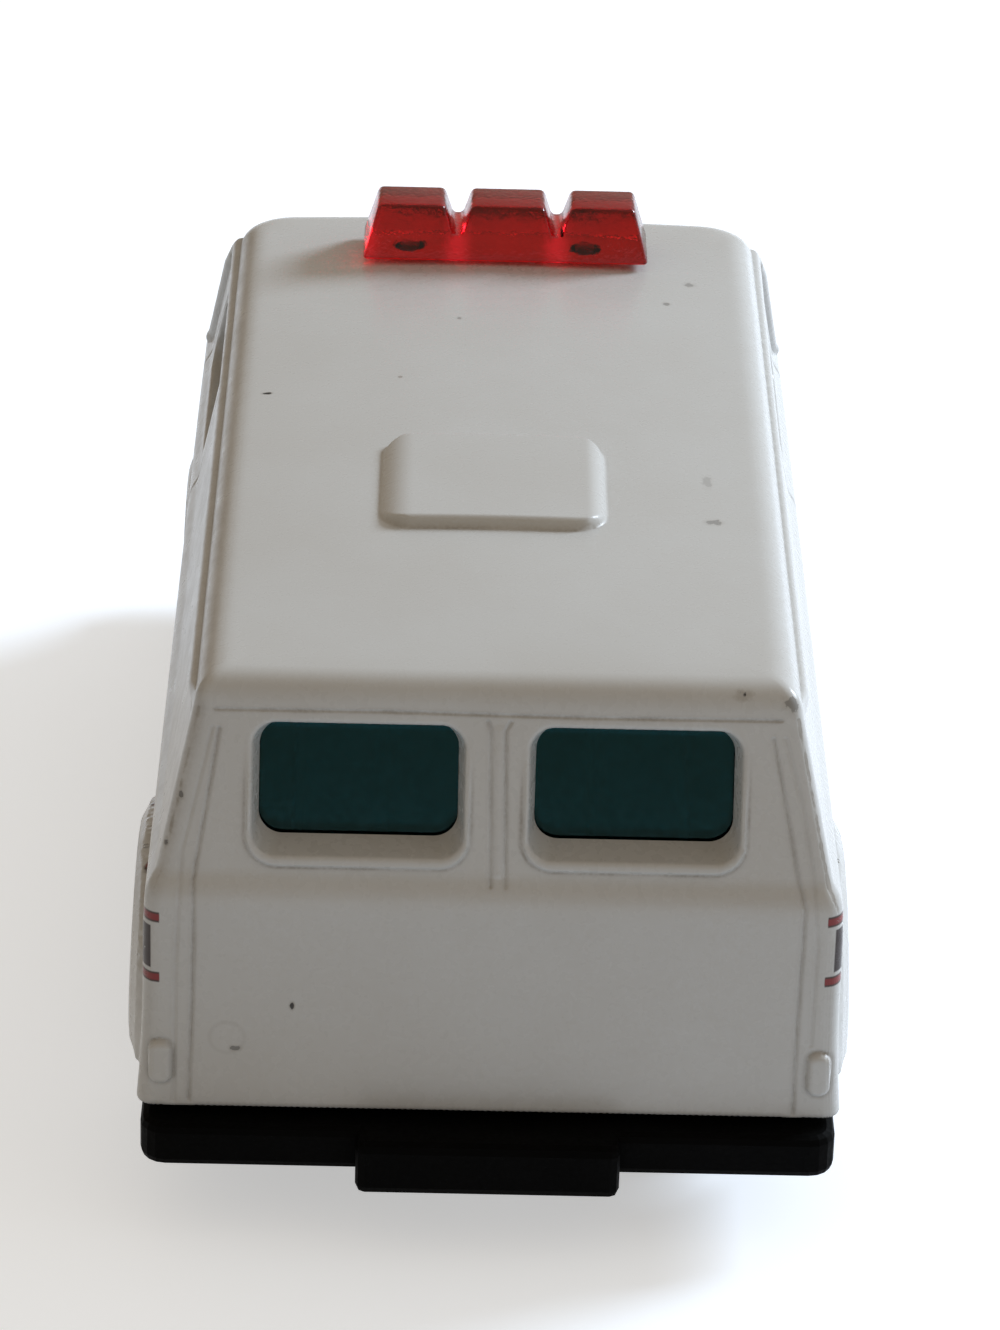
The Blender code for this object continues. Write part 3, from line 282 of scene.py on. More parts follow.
def finishPiece(item, body, materials, sharp=38.0):
    mesh = item.data
    mesh.transform(Matrix.Scale(mm, 4))
    mesh.shade_smooth()
    mesh.set_sharp_from_angle(angle=math.radians(sharp))
    mesh.materials.clear()
    for material in materials:
        mesh.materials.append(material)
    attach(item, body)


def lathe(name, profile, steps, centre, axis):
    # profile: (radius, along) pairs from one end on the axis round to the other
    axis = Vector(axis).normalized()
    side = axis.orthogonal().normalized()
    other = axis.cross(side)
    centre = Vector(centre)
    points, rows = [], []
    for radius, along in profile:
        if radius < 1e-6:
            rows.append([len(points)] * steps)
            points.append(centre + axis * along)
            continue
        rows.append(list(range(len(points), len(points) + steps)))
        points += ringPoints(centre + axis * along, side, other, radius, steps)
    faces = []
    closed = profile[0][0] > 1e-6
    pairs = list(zip(rows, rows[1:])) + ([(rows[-1], rows[0])] if closed else [])
    for lower, upper in pairs:
        for k in range(steps):
            m = (k + 1) % steps
            ring = [lower[k], lower[m], upper[m], upper[k]]
            face = [v for i, v in enumerate(ring) if v not in ring[:i]]
            if len(face) > 2:
                faces.append(face)
    return rawObject(name, points, faces)


def arcTurns(start, end, count):
    return np.radians(np.linspace(start, end, count))


def arcPoints(centre, radius, start, end, steps):
    turns = arcTurns(start, end, steps + 1)
    return [(centre[0] + radius * math.cos(t), centre[1] + radius * math.sin(t)) for t in turns]


def roundedRect(low, high, radius, steps=9):
    (a0, b0), (a1, b1) = low, high
    points = []
    for centre, start in (
        ((a1 - radius, b0 + radius), -90),
        ((a1 - radius, b1 - radius), 0),
        ((a0 + radius, b1 - radius), 90),
        ((a0 + radius, b0 + radius), 180),
    ):
        points += arcPoints(centre, radius, start, start + 90, steps)
    return points


def cornerRound(corners, i, radius):
    # a corner, the directions to its neighbours, half its angle and the centre of its rounding
    here = Vector(corners[i])
    before = (Vector(corners[i - 1]) - here).normalized()
    after = (Vector(corners[(i + 1) % len(corners)]) - here).normalized()
    halfAngle = before.angle(after) / 2
    centre = here + (before + after).normalized() * (radius / math.sin(halfAngle))
    return here, before, after, halfAngle, centre


def roundedCorners(corners, radius, steps=9):
    points = []
    for i in range(len(corners)):
        here, before, after, halfAngle, centre = cornerRound(corners, i, radius)
        start = here + before * (radius / math.tan(halfAngle)) - centre
        end = here + after * (radius / math.tan(halfAngle)) - centre
        turn = start.angle_signed(end)
        for k in range(steps + 1):
            spoke = Vector(start)
            spoke.rotate(Matrix.Rotation(-turn * k / steps, 2))
            points.append(tuple(centre + spoke))
    return points


def boxDistance(a, b, low, high, radius):
    # signed distance to a rounded rectangle, negative inside
    ca, cb = (low[0] + high[0]) / 2, (low[1] + high[1]) / 2
    qa = np.abs(a - ca) - ((high[0] - low[0]) / 2 - radius)
    qb = np.abs(b - cb) - ((high[1] - low[1]) / 2 - radius)
    outside = np.hypot(np.maximum(qa, 0), np.maximum(qb, 0))
    return outside + np.minimum(np.maximum(qa, qb), 0) - radius


def lineDistance(a, b, path):
    best = np.full(a.shape, 1e9)
    for (a0, b0), (a1, b1) in zip(path, path[1:]):
        da, db = a1 - a0, b1 - b0
        share = np.clip(((a - a0) * da + (b - b0) * db) / (da * da + db * db), 0, 1)
        best = np.minimum(best, np.hypot(a - a0 - share * da, b - b0 - share * db))
    return best


def ease(value, low, high):
    share = np.clip((value - low) / (high - low), 0, 1)
    return share * share * (3 - 2 * share)


def bump(distance, width):
    return 1 - ease(distance, 0, width)


def settled(distance, width):
    return np.exp(-((distance / width) ** 2))


def rimDrop(distance, radius):
    # rounded mouth of an opening: how far the skin drops at a distance from the edge
    share = np.clip(1 - distance / radius, 0, 1)
    return -radius * (1 - np.sqrt(np.maximum(1 - share * share, 0)))


def refine(points, triangles, kinds, sizeAt, rounds):
    # split edges of the painted skin that are longer than the size wanted there
    for _ in range(rounds):
        corner = triangles.T
        edges = np.concatenate([corner[[0, 1]].T, corner[[1, 2]].T, corner[[2, 0]].T])
        edges.sort(axis=1)
        keys = edges[:, 0].astype(np.int64) * len(points) + edges[:, 1]
        unique, inverse = np.unique(keys, return_inverse=True)
        first, second = unique // len(points), unique % len(points)
        onSkin = np.zeros(len(unique), dtype=bool)
        onSkin[inverse[np.tile(kinds == 0, 3)]] = True
        middle = (points[first] + points[second]) / 2
        length = np.linalg.norm(points[first] - points[second], axis=1)
        split = onSkin & (length > 1.3 * sizeAt(middle))
        if not split.any():
            break
        ids = np.full(len(unique), -1)
        ids[split] = len(points) + np.arange(split.sum())
        points = np.concatenate([points, middle[split]])
        mids = ids[inverse].reshape(3, -1).T
        marked = mids >= 0
        count = marked.sum(axis=1)
        made, madeKinds = [triangles[count == 0]], [kinds[count == 0]]
        for turn in range(3):
            order = [turn, (turn + 1) % 3, (turn + 2) % 3]
            tri, mid, mark = triangles[:, order], mids[:, order], marked[:, order]
            one = (count == 1) & mark[:, 0]
            a, b, c, m = tri[one, 0], tri[one, 1], tri[one, 2], mid[one, 0]
            made += [np.stack([a, m, c], 1), np.stack([m, b, c], 1)]
            madeKinds += [kinds[one]] * 2
            two = (count == 2) & ~mark[:, 2]
            a, b, c, m, n = tri[two, 0], tri[two, 1], tri[two, 2], mid[two, 0], mid[two, 1]
            made.append(np.stack([m, b, n], 1))
            oneWay = np.linalg.norm(points[a] - points[n], axis=1)
            otherWay = np.linalg.norm(points[m] - points[c], axis=1)
            near = (oneWay < otherWay)[:, None]  # the shorter way across
            made.append(np.where(near, np.stack([a, m, n], 1), np.stack([a, m, c], 1)))
            made.append(np.where(near, np.stack([a, n, c], 1), np.stack([m, n, c], 1)))
            madeKinds += [kinds[two]] * 3
        three = count == 3
        (a, b, c), (m, n, o) = triangles[three].T, mids[three].T
        made += [np.stack(t, 1) for t in ((a, m, o), (m, b, n), (o, n, c), (m, n, o))]
        madeKinds += [kinds[three]] * 4
        triangles, kinds = np.concatenate(made), np.concatenate(madeKinds)
    return points, triangles, kinds


def skinNormals(points, triangles):
    a, b, c = (points[triangles[:, k]] for k in range(3))
    faces = np.cross(b - a, c - a)
    normals = np.zeros_like(points)
    for k in range(3):
        np.add.at(normals, triangles[:, k], faces)
    length = np.linalg.norm(normals, axis=1)
    return normals / np.maximum(length, 1e-12)[:, None]


# cast body

castBody = {
    "length": 59.5,
    "half": 14.55,
    "ground": 5.3,  # heights up the casting are measured from here
    "foot": 0.35,  # bottom edge
    "rearX": -29.15,
    "wall": 1.3,
    "belt": 10.0,
    "shoulderRise": 1.2,
    "shoulderIn": 0.5,
    "hoodRun": 1.0,
    "greenhouse": 7.2,
    "sideLean": 1.55,
    "rearLean": 1.5,
    "windscreenRun": 5.3,
    "roofRadius": 1.25,
    "roofCrown": 0.35,
    "crownRun": 9.0,  # how far in from the ends of the roof it takes to rise
    "sillTuck": 0.08,
    "sillSpread": 0.3,
    "rearCorner": 0.8,
    "cabRearCorner": 0.55,
    "noseCorner": 1.5,
    "cabFrontCorner": 0.8,
    "roofFrontCorner": 2.5,
    "noseBow": 0.4,
    "noseTaper": 0.03,
    "cabSpread": 0.25,  # the cab widens towards its upper front corners
    "cabTop": 1.0,  # how far below the roof edge it is widest
    "taperRun": 9.0,
    "archReach": (8.0, 17.3),  # how far in and out from the middle the wheel arches are cut
    "paintBlur": 0.24,  # how far thick paint softens the casting's edges
}
rearX = castBody["rearX"]
noseX = rearX + castBody["length"]
ground = castBody["ground"]
shoulderUp = castBody["belt"] + castBody["shoulderRise"]
edgeUp = shoulderUp + castBody["greenhouse"]
roofUp = edgeUp + castBody["roofRadius"]
roofTop = ground + roofUp + castBody["roofCrown"]
axleX = {"rear": rearX + 12.5, "front": noseX - 9.8}
wheelRadius = 5.3
axleZ = wheelRadius
archRadius = wheelRadius + 0.8


def castLevels(arcSteps):
    # plan outlines from the bottom edge to the roof, each with its height, its set-in at the rear, flank and
    # nose, the radii of its rear and front corners, and the taper of its flanks
    c = castBody
    levels = []
    for height in np.linspace(c["foot"], c["belt"], 14):
        low = max(1 - (height - c["foot"]) / 6.3, 0) ** 2
        swell = c["shoulderIn"] * 0.1 * max((height - 6.5) / 3.5, 0) ** 2
        levels.append((
            height, 0.0, swell - c["sillSpread"] * low, c["sillTuck"] * low,
            c["rearCorner"], c["noseCorner"], c["noseTaper"],
        ))
    full = math.radians(75.0)
    for k in range(1, arcSteps + 1):
        turn = full * k / arcSteps
        share = (1 - math.cos(turn)) / (1 - math.cos(full))
        levels.append((
            c["belt"] + c["shoulderRise"] * math.sin(turn) / math.sin(full),
            c["shoulderIn"] * share,
            c["shoulderIn"] * (0.1 + 0.9 * share),
            c["hoodRun"] * share,
            c["rearCorner"] + (c["cabRearCorner"] - c["rearCorner"]) * share,
            c["noseCorner"] + (c["cabFrontCorner"] - c["noseCorner"]) * share,
            c["noseTaper"],
        ))
    share = 1 - c["cabTop"] / c["greenhouse"]
    levels.append((
        edgeUp - c["cabTop"],
        c["shoulderIn"] + c["rearLean"] * share,
        c["shoulderIn"] + c["sideLean"] * share,
        c["hoodRun"] + c["windscreenRun"] * share,
        c["cabRearCorner"], c["cabFrontCorner"], -c["cabSpread"],
    ))
    for k in range(arcSteps + 1):
        turn = math.radians(90.0) * k / arcSteps
        run = c["roofRadius"] * (1 - math.cos(turn))
        levels.append((
            edgeUp + c["roofRadius"] * math.sin(turn),
            c["shoulderIn"] + c["rearLean"] + run,
            c["shoulderIn"] + c["sideLean"] + run,
            c["hoodRun"] + c["windscreenRun"] + run * 1.4,
            max(c["cabRearCorner"] - run * 0.4, 0.3),
            c["roofFrontCorner"] - run * 0.6,
            c["noseTaper"] * 0.3,
        ))
    edge = levels[-1]
    reach = c["half"] - edge[2]
    for share in np.linspace(0.1, 0.7, 7):
        rise = c["roofCrown"] * (1 - (1 - share) ** 2) / 0.91
        inward = reach * share
        levels.append((
            edge[0] + rise, edge[1] + inward, edge[2] + inward, edge[3] + inward,
            edge[4], edge[5] * (1 - share), 0.0,
        ))
    return np.array(levels)


def softLevels():
    # the same outlines with their profile softened, spaced closer where it bends
    rough = castLevels(16)
    step = 0.04
    run = np.concatenate([[0], np.cumsum(np.hypot(np.diff(rough[:, 0]), np.diff(rough[:, 1])))])
    at = np.arange(0, run[-1], step)
    even = np.stack([np.interp(at, run, rough[:, k]) for k in range(rough.shape[1])], 1)
    reach = int(4 * castBody["paintBlur"] / step)
    weights = np.exp(-0.5 * (np.arange(-reach, reach + 1) * step / castBody["paintBlur"]) ** 2)
    weights /= weights.sum()
    padded = np.concatenate([
        2 * even[0] - even[reach:0:-1], even, 2 * even[-1] - even[-2:-reach - 2:-1],
    ])
    soft = np.stack([np.convolve(padded[:, k], weights, "valid") for k in range(even.shape[1])], 1)
    lean = np.unwrap(np.arctan2(np.gradient(soft[:, 1]), np.gradient(soft[:, 0])))
    nose = np.unwrap(np.arctan2(np.gradient(soft[:, 3]), np.gradient(soft[:, 0])))
    bend = np.maximum(np.abs(np.gradient(lean)), np.abs(np.gradient(nose)))
    cost = np.cumsum(step / 1.5 + bend / math.radians(5.0))
    wanted = np.linspace(cost[0], cost[-1], int(cost[-1] - cost[0]) + 1)
    return np.stack([np.interp(wanted, cost, soft[:, k]) for k in range(soft.shape[1])], 1)


def planRing(level, inset=0.0, up=None, counts=(7, 10, 15, 6, 12, 7)):
    height, rear, side, front, rearRadius, frontRadius, taper = level
    z = ground + (height if up is None else up)
    back = rearX + rear + inset
    nose = noseX - front - inset
    half = castBody["half"] - side - inset
    rRear = max(rearRadius - inset, 0.3)
    rFront = max(frontRadius - inset, 0.3)
    bow = castBody["noseBow"]
    flat = half - taper - rFront
    for _ in range(6):
        turn = math.pi / 2 - math.atan(2 * bow / flat)
        flat = half - taper - rFront + rFront * math.cos(turn)
    cornerX = nose - bow - rFront * math.sin(turn)
    nRear, nCorner, nFlank, nTaper, nNose, nBow = counts
    points = [(back, y) for y in np.linspace(0, half - rRear, nRear + 1)[:-1]]
    points += [(back + rRear - rRear * math.cos(t), half - rRear + rRear * math.sin(t))
               for t in np.linspace(0, math.pi / 2, nCorner + 1)]
    points += [(x, half) for x in np.linspace(back + rRear, cornerX - castBody["taperRun"], nFlank + 1)[1:]]
    for u in np.linspace(0, 1, nTaper + 1)[1:]:
        points.append((cornerX - castBody["taperRun"] * (1 - u), half - taper * u * u * (3 - 2 * u)))
    points += [(cornerX + rFront * math.sin(t), half - taper - rFront + rFront * math.cos(t))
               for t in np.linspace(0, turn, nNose + 1)[1:]]
    points += [(nose - bow * s * s, flat * s) for s in np.linspace(1, 0, nBow + 1)[1:]]
    points += [(x, -y) for x, y in reversed(points[1:-1])]
    return [(x, y, z) for x, y in points]


def lowered(height, wall):
    share = min(max((height - castBody["belt"]) / (roofUp - castBody["belt"]), 0.0), 1.0)
    return height - wall * share


def panelFrame(low, high, outward):
    low, high, outward = Vector(low), Vector(high), Vector(outward)
    up = (high - low).normalized()
    normal = (outward - up * up.dot(outward)).normalized()
    return low, up, normal


rearSet = castBody["shoulderIn"]
rearPanel = panelFrame(
    (rearX + rearSet, 0, ground + shoulderUp),
    (rearX + rearSet + castBody["rearLean"], 0, ground + edgeUp),
    (-1, 0, 0),
)
sidePanel = {
    side: panelFrame(
        (0, side * (castBody["half"] - rearSet), ground + shoulderUp),
        (0, side * (castBody["half"] - rearSet - castBody["sideLean"]), ground + edgeUp),
        (0, side, 0),
    )
    for side in (1, -1)
}
frontPanel = panelFrame(
    (noseX - castBody["hoodRun"], 0, ground + shoulderUp),
    (noseX - castBody["hoodRun"] - castBody["windscreenRun"], 0, ground + edgeUp),
    (1, 0, 0),
)

panes = {
    "draft": 0.2,
    "sillDraft": 0.5,
    "radius": 1.0,
    "rearInner": 1.57,
    "rearOuter": castBody["half"] - 4.7,
    "rearLow": 1.55,
    "rearHigh": 6.45,
    "doorFront": noseX - 7.6,
    "doorLength": 11.4,
    "doorRake": 3.2,
    "doorLow": 0.9,
    "doorHigh": 5.6,
    "screenLow": 0.9,
    "screenHigh": 6.9,
    "screenHalfLow": castBody["half"] - 3.5,
    "screenHalfHigh": castBody["half"] - 5.1,
    "mouth": 0.26,  # rounding of the aperture's outer edge
    "mouthSide": 0.2,
}


def grownCorners(corners):
    # a quad aperture where it meets the outer skin
    (a, b, c, d), grow = corners, panes["draft"]
    return [(a[0] - grow, a[1] - grow), (b[0] + grow, b[1] - grow),
            (c[0] + grow, c[1] + grow), (d[0] - grow, d[1] + grow)]


def paneCutter(name, panel, across, inner, outer, sink=0.0):
    origin, up, normal = panel
    across = Vector(across)
    wall = castBody["wall"]
    rings = []
    for depth in (-wall * 1.6, wall * 0.6):
        share = 1 + depth / wall
        ring = []
        for p, q in zip(inner, outer):
            a, b = p[0] + (q[0] - p[0]) * share, p[1] + (q[1] - p[1]) * share
            ring.append(origin + across * a + up * b + normal * (depth - sink))
        rings.append(ring)
    return loft(name, rings, 2)


def doorCorners():
    front, rear = panes["doorFront"], panes["doorFront"] - panes["doorLength"]
    low, high = panes["doorLow"], panes["doorHigh"]
    return [(rear, low), (front, low), (front - panes["doorRake"], high), (rear, high)]


def screenCorners():
    low, high = panes["screenLow"], panes["screenHigh"]
    wide, narrow = panes["screenHalfLow"], panes["screenHalfHigh"]
    return [(-wide, low), (wide, low), (narrow, high), (-narrow, high)]


def rearPaneBox(side):
    inner, outer = sorted((side * panes["rearInner"], side * panes["rearOuter"]))
    draft = panes["draft"]
    return (inner - draft, panes["rearLow"] - panes["sillDraft"]), (outer + draft, panes["rearHigh"] + draft)


def paneCutters():
    cutters = []
    radius = panes["radius"]
    for side in (1, -1):
        inner, outer = sorted((side * panes["rearInner"], side * panes["rearOuter"]))
        low, high = rearPaneBox(side)
        near = roundedRect((inner, panes["rearLow"]), (outer, panes["rearHigh"]), radius)
        cutters.append(paneCutter("rearPaneCut", rearPanel, (0, 1, 0), near, roundedRect(low, high, radius)))
    near = roundedCorners(doorCorners(), radius)
    wide = roundedCorners(grownCorners(doorCorners()), radius)
    for side in (1, -1):
        cutters.append(paneCutter("doorPaneCut", sidePanel[side], (1, 0, 0), near, wide))
    near = roundedCorners(screenCorners(), radius)
    wide = roundedCorners(grownCorners(screenCorners()), radius)
    cutters.append(paneCutter("screenCut", frontPanel, (0, 1, 0), near, wide, castBody["noseBow"] / 2))
    return cutters


relief = {
    "hatchLow": (rearX + 15.9, -4.74),
    "hatchHigh": (rearX + 25.0, 5.24),
    "hatchRun": (0.45, 0.4, 0.95, 1.5),  # how far its rear, front, right and left edges slope
    "hatchCorner": 1.7,
    "hatchRise": 0.52,
    "seamWidth": 0.13,
    "seamDepth": 0.085,
    "ridge": ((-0.05, 17.6), (-0.13, 11.6)),  # between the two middle seams
    "ridgeWidth": 0.3,
    "ridgeRise": 0.05,
    "headerUp": 18.26,
    "headerReach": 11.6,
    "headerWidth": 0.11,
    "headerDepth": 0.04,
    "lipSide": 0.30,  # raised rim round each rear window
    "lipBelow": 0.52,
    "lipCorner": 1.3,
    "lipRise": 0.17,
    "railUp": 18.25,
    "railWidth": 0.36,
    "railRise": 0.30,
    "railGroove": 0.14,
    "railDrop": 0.62,  # from the rail down to its groove
    "tailY": castBody["half"] - 0.75,
    "tailUp": 2.6,
    "tailHalf": (0.48, 1.03),
    "tailRise": 0.30,
    "tailRound": 0.3,
    "tailGroove": 0.05,
    "flareAbove": 0.9,
    "flare": {"front": (0.5, 1.8), "rear": (0.95, 4.6)},  # rise from the flank, run beside the arch
    "flareSoft": 0.2,
    "grilleHalf": 6.15,
    "grilleLow": 3.4,
    "grilleHigh": 7.8,
    "grilleDepth": 0.45,
    "grilleCorner": 0.3,
    "grilleRound": 0.2,
    "footRound": 0.22,
}
grilleBack = noseX - castBody["noseBow"] * 0.6 - relief["grilleDepth"]
windowFrom = 10.6  # relief of the rear windows lies above this height
upperFrom = 10.8  # relief of the rails, the cab windows and the windscreen lies above this one
archTo = 9.0  # relief of the wheel arches lies below this one
grimeAndShadeDepth = {  # how dark each kind of place is made: settled dirt in seams and hollows, painted shade on the left flank and along the hatch's rear foot, darker bands under the drip rail and along the left rear corner
    "seam": 0.34,
    "header": 0.5,
    "windowRim": 0.6,
    "tail": 0.45,
    "hatch": 0.22,
    "hatchRearShade": 0.2,
    "leftFlankShade": 0.12,
    "leftUpperShade": 0.14,
    "rail": 0.9,
    "door": 0.6,
    "flare": 0.25,
    "leftCorner": 0.34,
    "foot": 0.5,
}
rearSeams = (  # lines cast in the rear, across and up, with the depth of each
    (((0.42, 17.95), (0.31, 17.6), (0.24, 14.5), (0.17, 11.1)), 0.9),
    (((-0.50, 17.95), (-0.30, 17.6), (-0.37, 14.5), (-0.45, 11.1)), 0.9),
    (((11.45, 17.45), (11.88, 14.68), (12.32, 12.02), (12.44, 11.1),
      (12.42, 8.5), (12.48, 5.6), (12.62, 0.75)), 1.0),
    (((-11.31, 17.47), (-11.95, 14.5), (-12.55, 11.56), (-12.86, 10.5),
      (-12.85, 8.56), (-12.80, 5.0), (-12.82, 0.6)), 1.0),
    (((11.74, 17.5), (12.34, 14.9), (12.94, 12.35), (13.17, 7.5), (13.25, 0.7)), 0.5),
    (((-11.80, 17.5), (-12.55, 14.9), (-13.17, 11.7), (-13.45, 8.86), (-13.42, 4.0)), 0.5),
)
rearCorner = ((12.28, 18.3), (13.78, 11.4), (14.30, 10.2))  # where the upper rear panel meets the flank
frontDoor = {  # engraved outline of the cab door on each flank, along the van and up
    "rear": noseX - 20.6,
    "front": noseX - 5.6,
    "low": 0.9,
    "high": 17.4,
    "rake": 4.4,
}


def doorOutline():
    d = frontDoor
    return [
        (d["rear"], d["low"]), (d["rear"], d["high"]), (d["front"] - d["rake"] - 1.2, d["high"]),
        (d["front"], shoulderUp + 0.2), (d["front"], 8.4),
    ]


def panelCoords(points):
    up = points[:, 2] - ground
    origin, upAxis, _ = rearPanel
    along = (points - np.array(origin)) @ np.array(upAxis)
    return points[:, 0], points[:, 1], up, along


def railPath(drop=0.0):
    # along the roof side, then down the windscreen pillar, as distance along the van and height
    up = relief["railUp"] - drop
    foot = noseX - castBody["hoodRun"]
    return [(rearX + 2.6, up), (foot - castBody["windscreenRun"] - 2.2, up), (foot - 2.3, shoulderUp)]


def featureSize(points):
    # spacing wanted on the skin: fine at relief, coarse on plain panels
    x, y, up, along = panelCoords(points)
    size = np.full(len(points), 2.6)

    def near(distance, mask, fine, flat, growth=0.35):
        wanted = fine + growth * np.maximum(distance - flat, 0)
        size[mask] = np.minimum(size[mask], wanted[mask])

    rear = x < rearX + 3.2
    for seam, _ in rearSeams:
        near(lineDistance(y, up, seam), rear, 0.06, 0.17)
    reach, headerUp = relief["headerReach"], relief["headerUp"]
    near(lineDistance(y, up, [(-reach, headerUp), (reach, headerUp)]), rear & (up < 19.4), 0.07, 0.22)
    for side in (1, -1):
        low, high = rearPaneBox(side)
        mouth = boxDistance(y, along, low, high, panes["radius"])
        near(np.abs(mouth), rear & (up > windowFrom), 0.075, panes["mouth"])
        rim = windowRim(y, along, side)
        near(np.abs(rim), rear & (up > windowFrom) & (along < 5.0), 0.075, 0.12)
    tail = tailDistance(y, up)
    near(np.maximum(tail, 0), (x < rearX + 1.6) & (np.abs(y) > 11), 0.07, 0.15)
    roof = up > 19.0
    foot, _ = hatchShape(x, y)
    near(np.maximum(np.maximum(foot, -foot - relief["hatchRun"][3] - 0.3), 0), roof, 0.10, 0.25)
    flank = (np.abs(y) > 10.6) & (x > rearX + 1.0)
    near(lineDistance(x, up, railPath()), flank & (up > upperFrom), 0.11, 0.75)
    near(lineDistance(x, up, doorOutline()), flank, 0.10, 0.2)
    for place in axleX.values():
        arch = np.hypot(x - place, points[:, 2] - axleZ) - archRadius
        near(np.maximum(np.maximum(arch - 1.0, -arch), 0), flank & (up < archTo), 0.2, 0.15, 0.12)
    door = apertureDistance(x, up, sidePanel[1], doorCorners())
    near(np.abs(door), flank & (up > upperFrom), 0.09, panes["mouthSide"])
    screen = apertureDistance(y, up, frontPanel, screenCorners())
    near(np.abs(screen), (x > noseX - 9) & (up > upperFrom), 0.10, panes["mouthSide"])
    near(np.abs(grilleDistance(y, up)), x > noseX - 2.5, 0.12, 0.2)
    near(up - castBody["foot"], up < 1.4, 0.14, 0.2)  # bottom edge of the casting
    return size


def apertureDistance(a, up, panel, corners):
    # signed distance to the mouth of a quad aperture in a leaning panel
    rise = (up - shoulderUp) / panel[1].z
    return quadDistance(a, rise, grownCorners(corners), panes["radius"])


def grilleDistance(y, up):
    half, low, high = relief["grilleHalf"], relief["grilleLow"], relief["grilleHigh"]
    return boxDistance(y, up, (-half, low), (half, high), relief["grilleCorner"])


def quadDistance(a, b, corners, radius):
    # signed distance to a convex quad with rounded corners, negative inside
    inset = [np.array(c, dtype=float) for c in roundedInset(corners, radius)]
    outside = lineDistance(a, b, inset + [inset[0]])
    inside = np.ones(a.shape, dtype=bool)
    for p, q in zip(inset, inset[1:] + [inset[0]]):
        inside &= (q[0] - p[0]) * (b - p[1]) - (q[1] - p[1]) * (a - p[0]) > 0
    return np.where(inside, -outside, outside) - radius


def roundedInset(corners, radius):
    return [tuple(cornerRound(corners, i, radius)[-1]) for i in range(len(corners))]


def windowRim(y, along, side):
    # signed distance to the foot of the raised rim round a rear window
    low, high = rearPaneBox(side)
    grow = relief["lipSide"]
    low = (low[0] - grow, low[1] - relief["lipBelow"])
    high = (high[0] + grow, high[1] + grow)
    return boxDistance(y, along, low, high, relief["lipCorner"])


def tailDistance(y, up):
    wide, tall = relief["tailHalf"]
    middle, lift = relief["tailY"], relief["tailUp"]
    return boxDistance(np.abs(y), up, (middle - wide, lift - tall), (middle + wide, lift + tall), wide * 0.92)


def hatchShape(x, y):
    # signed distance to the foot of the roof hatch, and its height as a share of the whole rise
    low, high = relief["hatchLow"], relief["hatchHigh"]
    rear, front, right, left = relief["hatchRun"]
    foot = boxDistance(x, y, low, high, relief["hatchCorner"])
    end = np.clip(np.minimum((x - low[0]) / rear, (high[0] - x) / front), 0, 1)
    side = np.clip(np.minimum((y - low[1]) / right, (high[1] - y) / left), 0, 1)
    rise = (1 - (1 - end) ** 2) * (1 - (1 - side) ** 2.3) * ease(-foot, -0.03, 0.22)
    return foot, rise


def flareReach(x, z, place):
    # half width of the casting that the swelling round a wheel arch gives
    proud, run = relief["flare"][place]
    above, half = relief["flareAbove"], castBody["half"]
    foot = ground + castBody["foot"]
    rise = axleZ + archRadius - foot
    rings = (
        (half - 0.8 * castBody["wall"], run, above), (half + 0.5 * proud, 0.6 * run, 0.75 * above),
        (half + 0.88 * proud, 0.25 * run, 0.2 * above), (half + proud, 0.0, -0.2 * rise),
    )
    out = []
    for y, beside, over in rings:
        out.append((np.hypot((x - axleX[place]) / (archRadius + beside), (z - foot) / (rise + over)), y))
    reach = np.full(x.shape, rings[0][0])
    for (outer, low), (inner, high) in zip(out, out[1:]):
        share = (1 - outer) / np.maximum((1 - outer) + (inner - 1), 1e-6)
        reach = np.where((outer < 1) & (inner >= 1), low + (high - low) * np.clip(share, 0, 1), reach)
    return np.where(out[-1][0] < 1, rings[-1][0], reach)


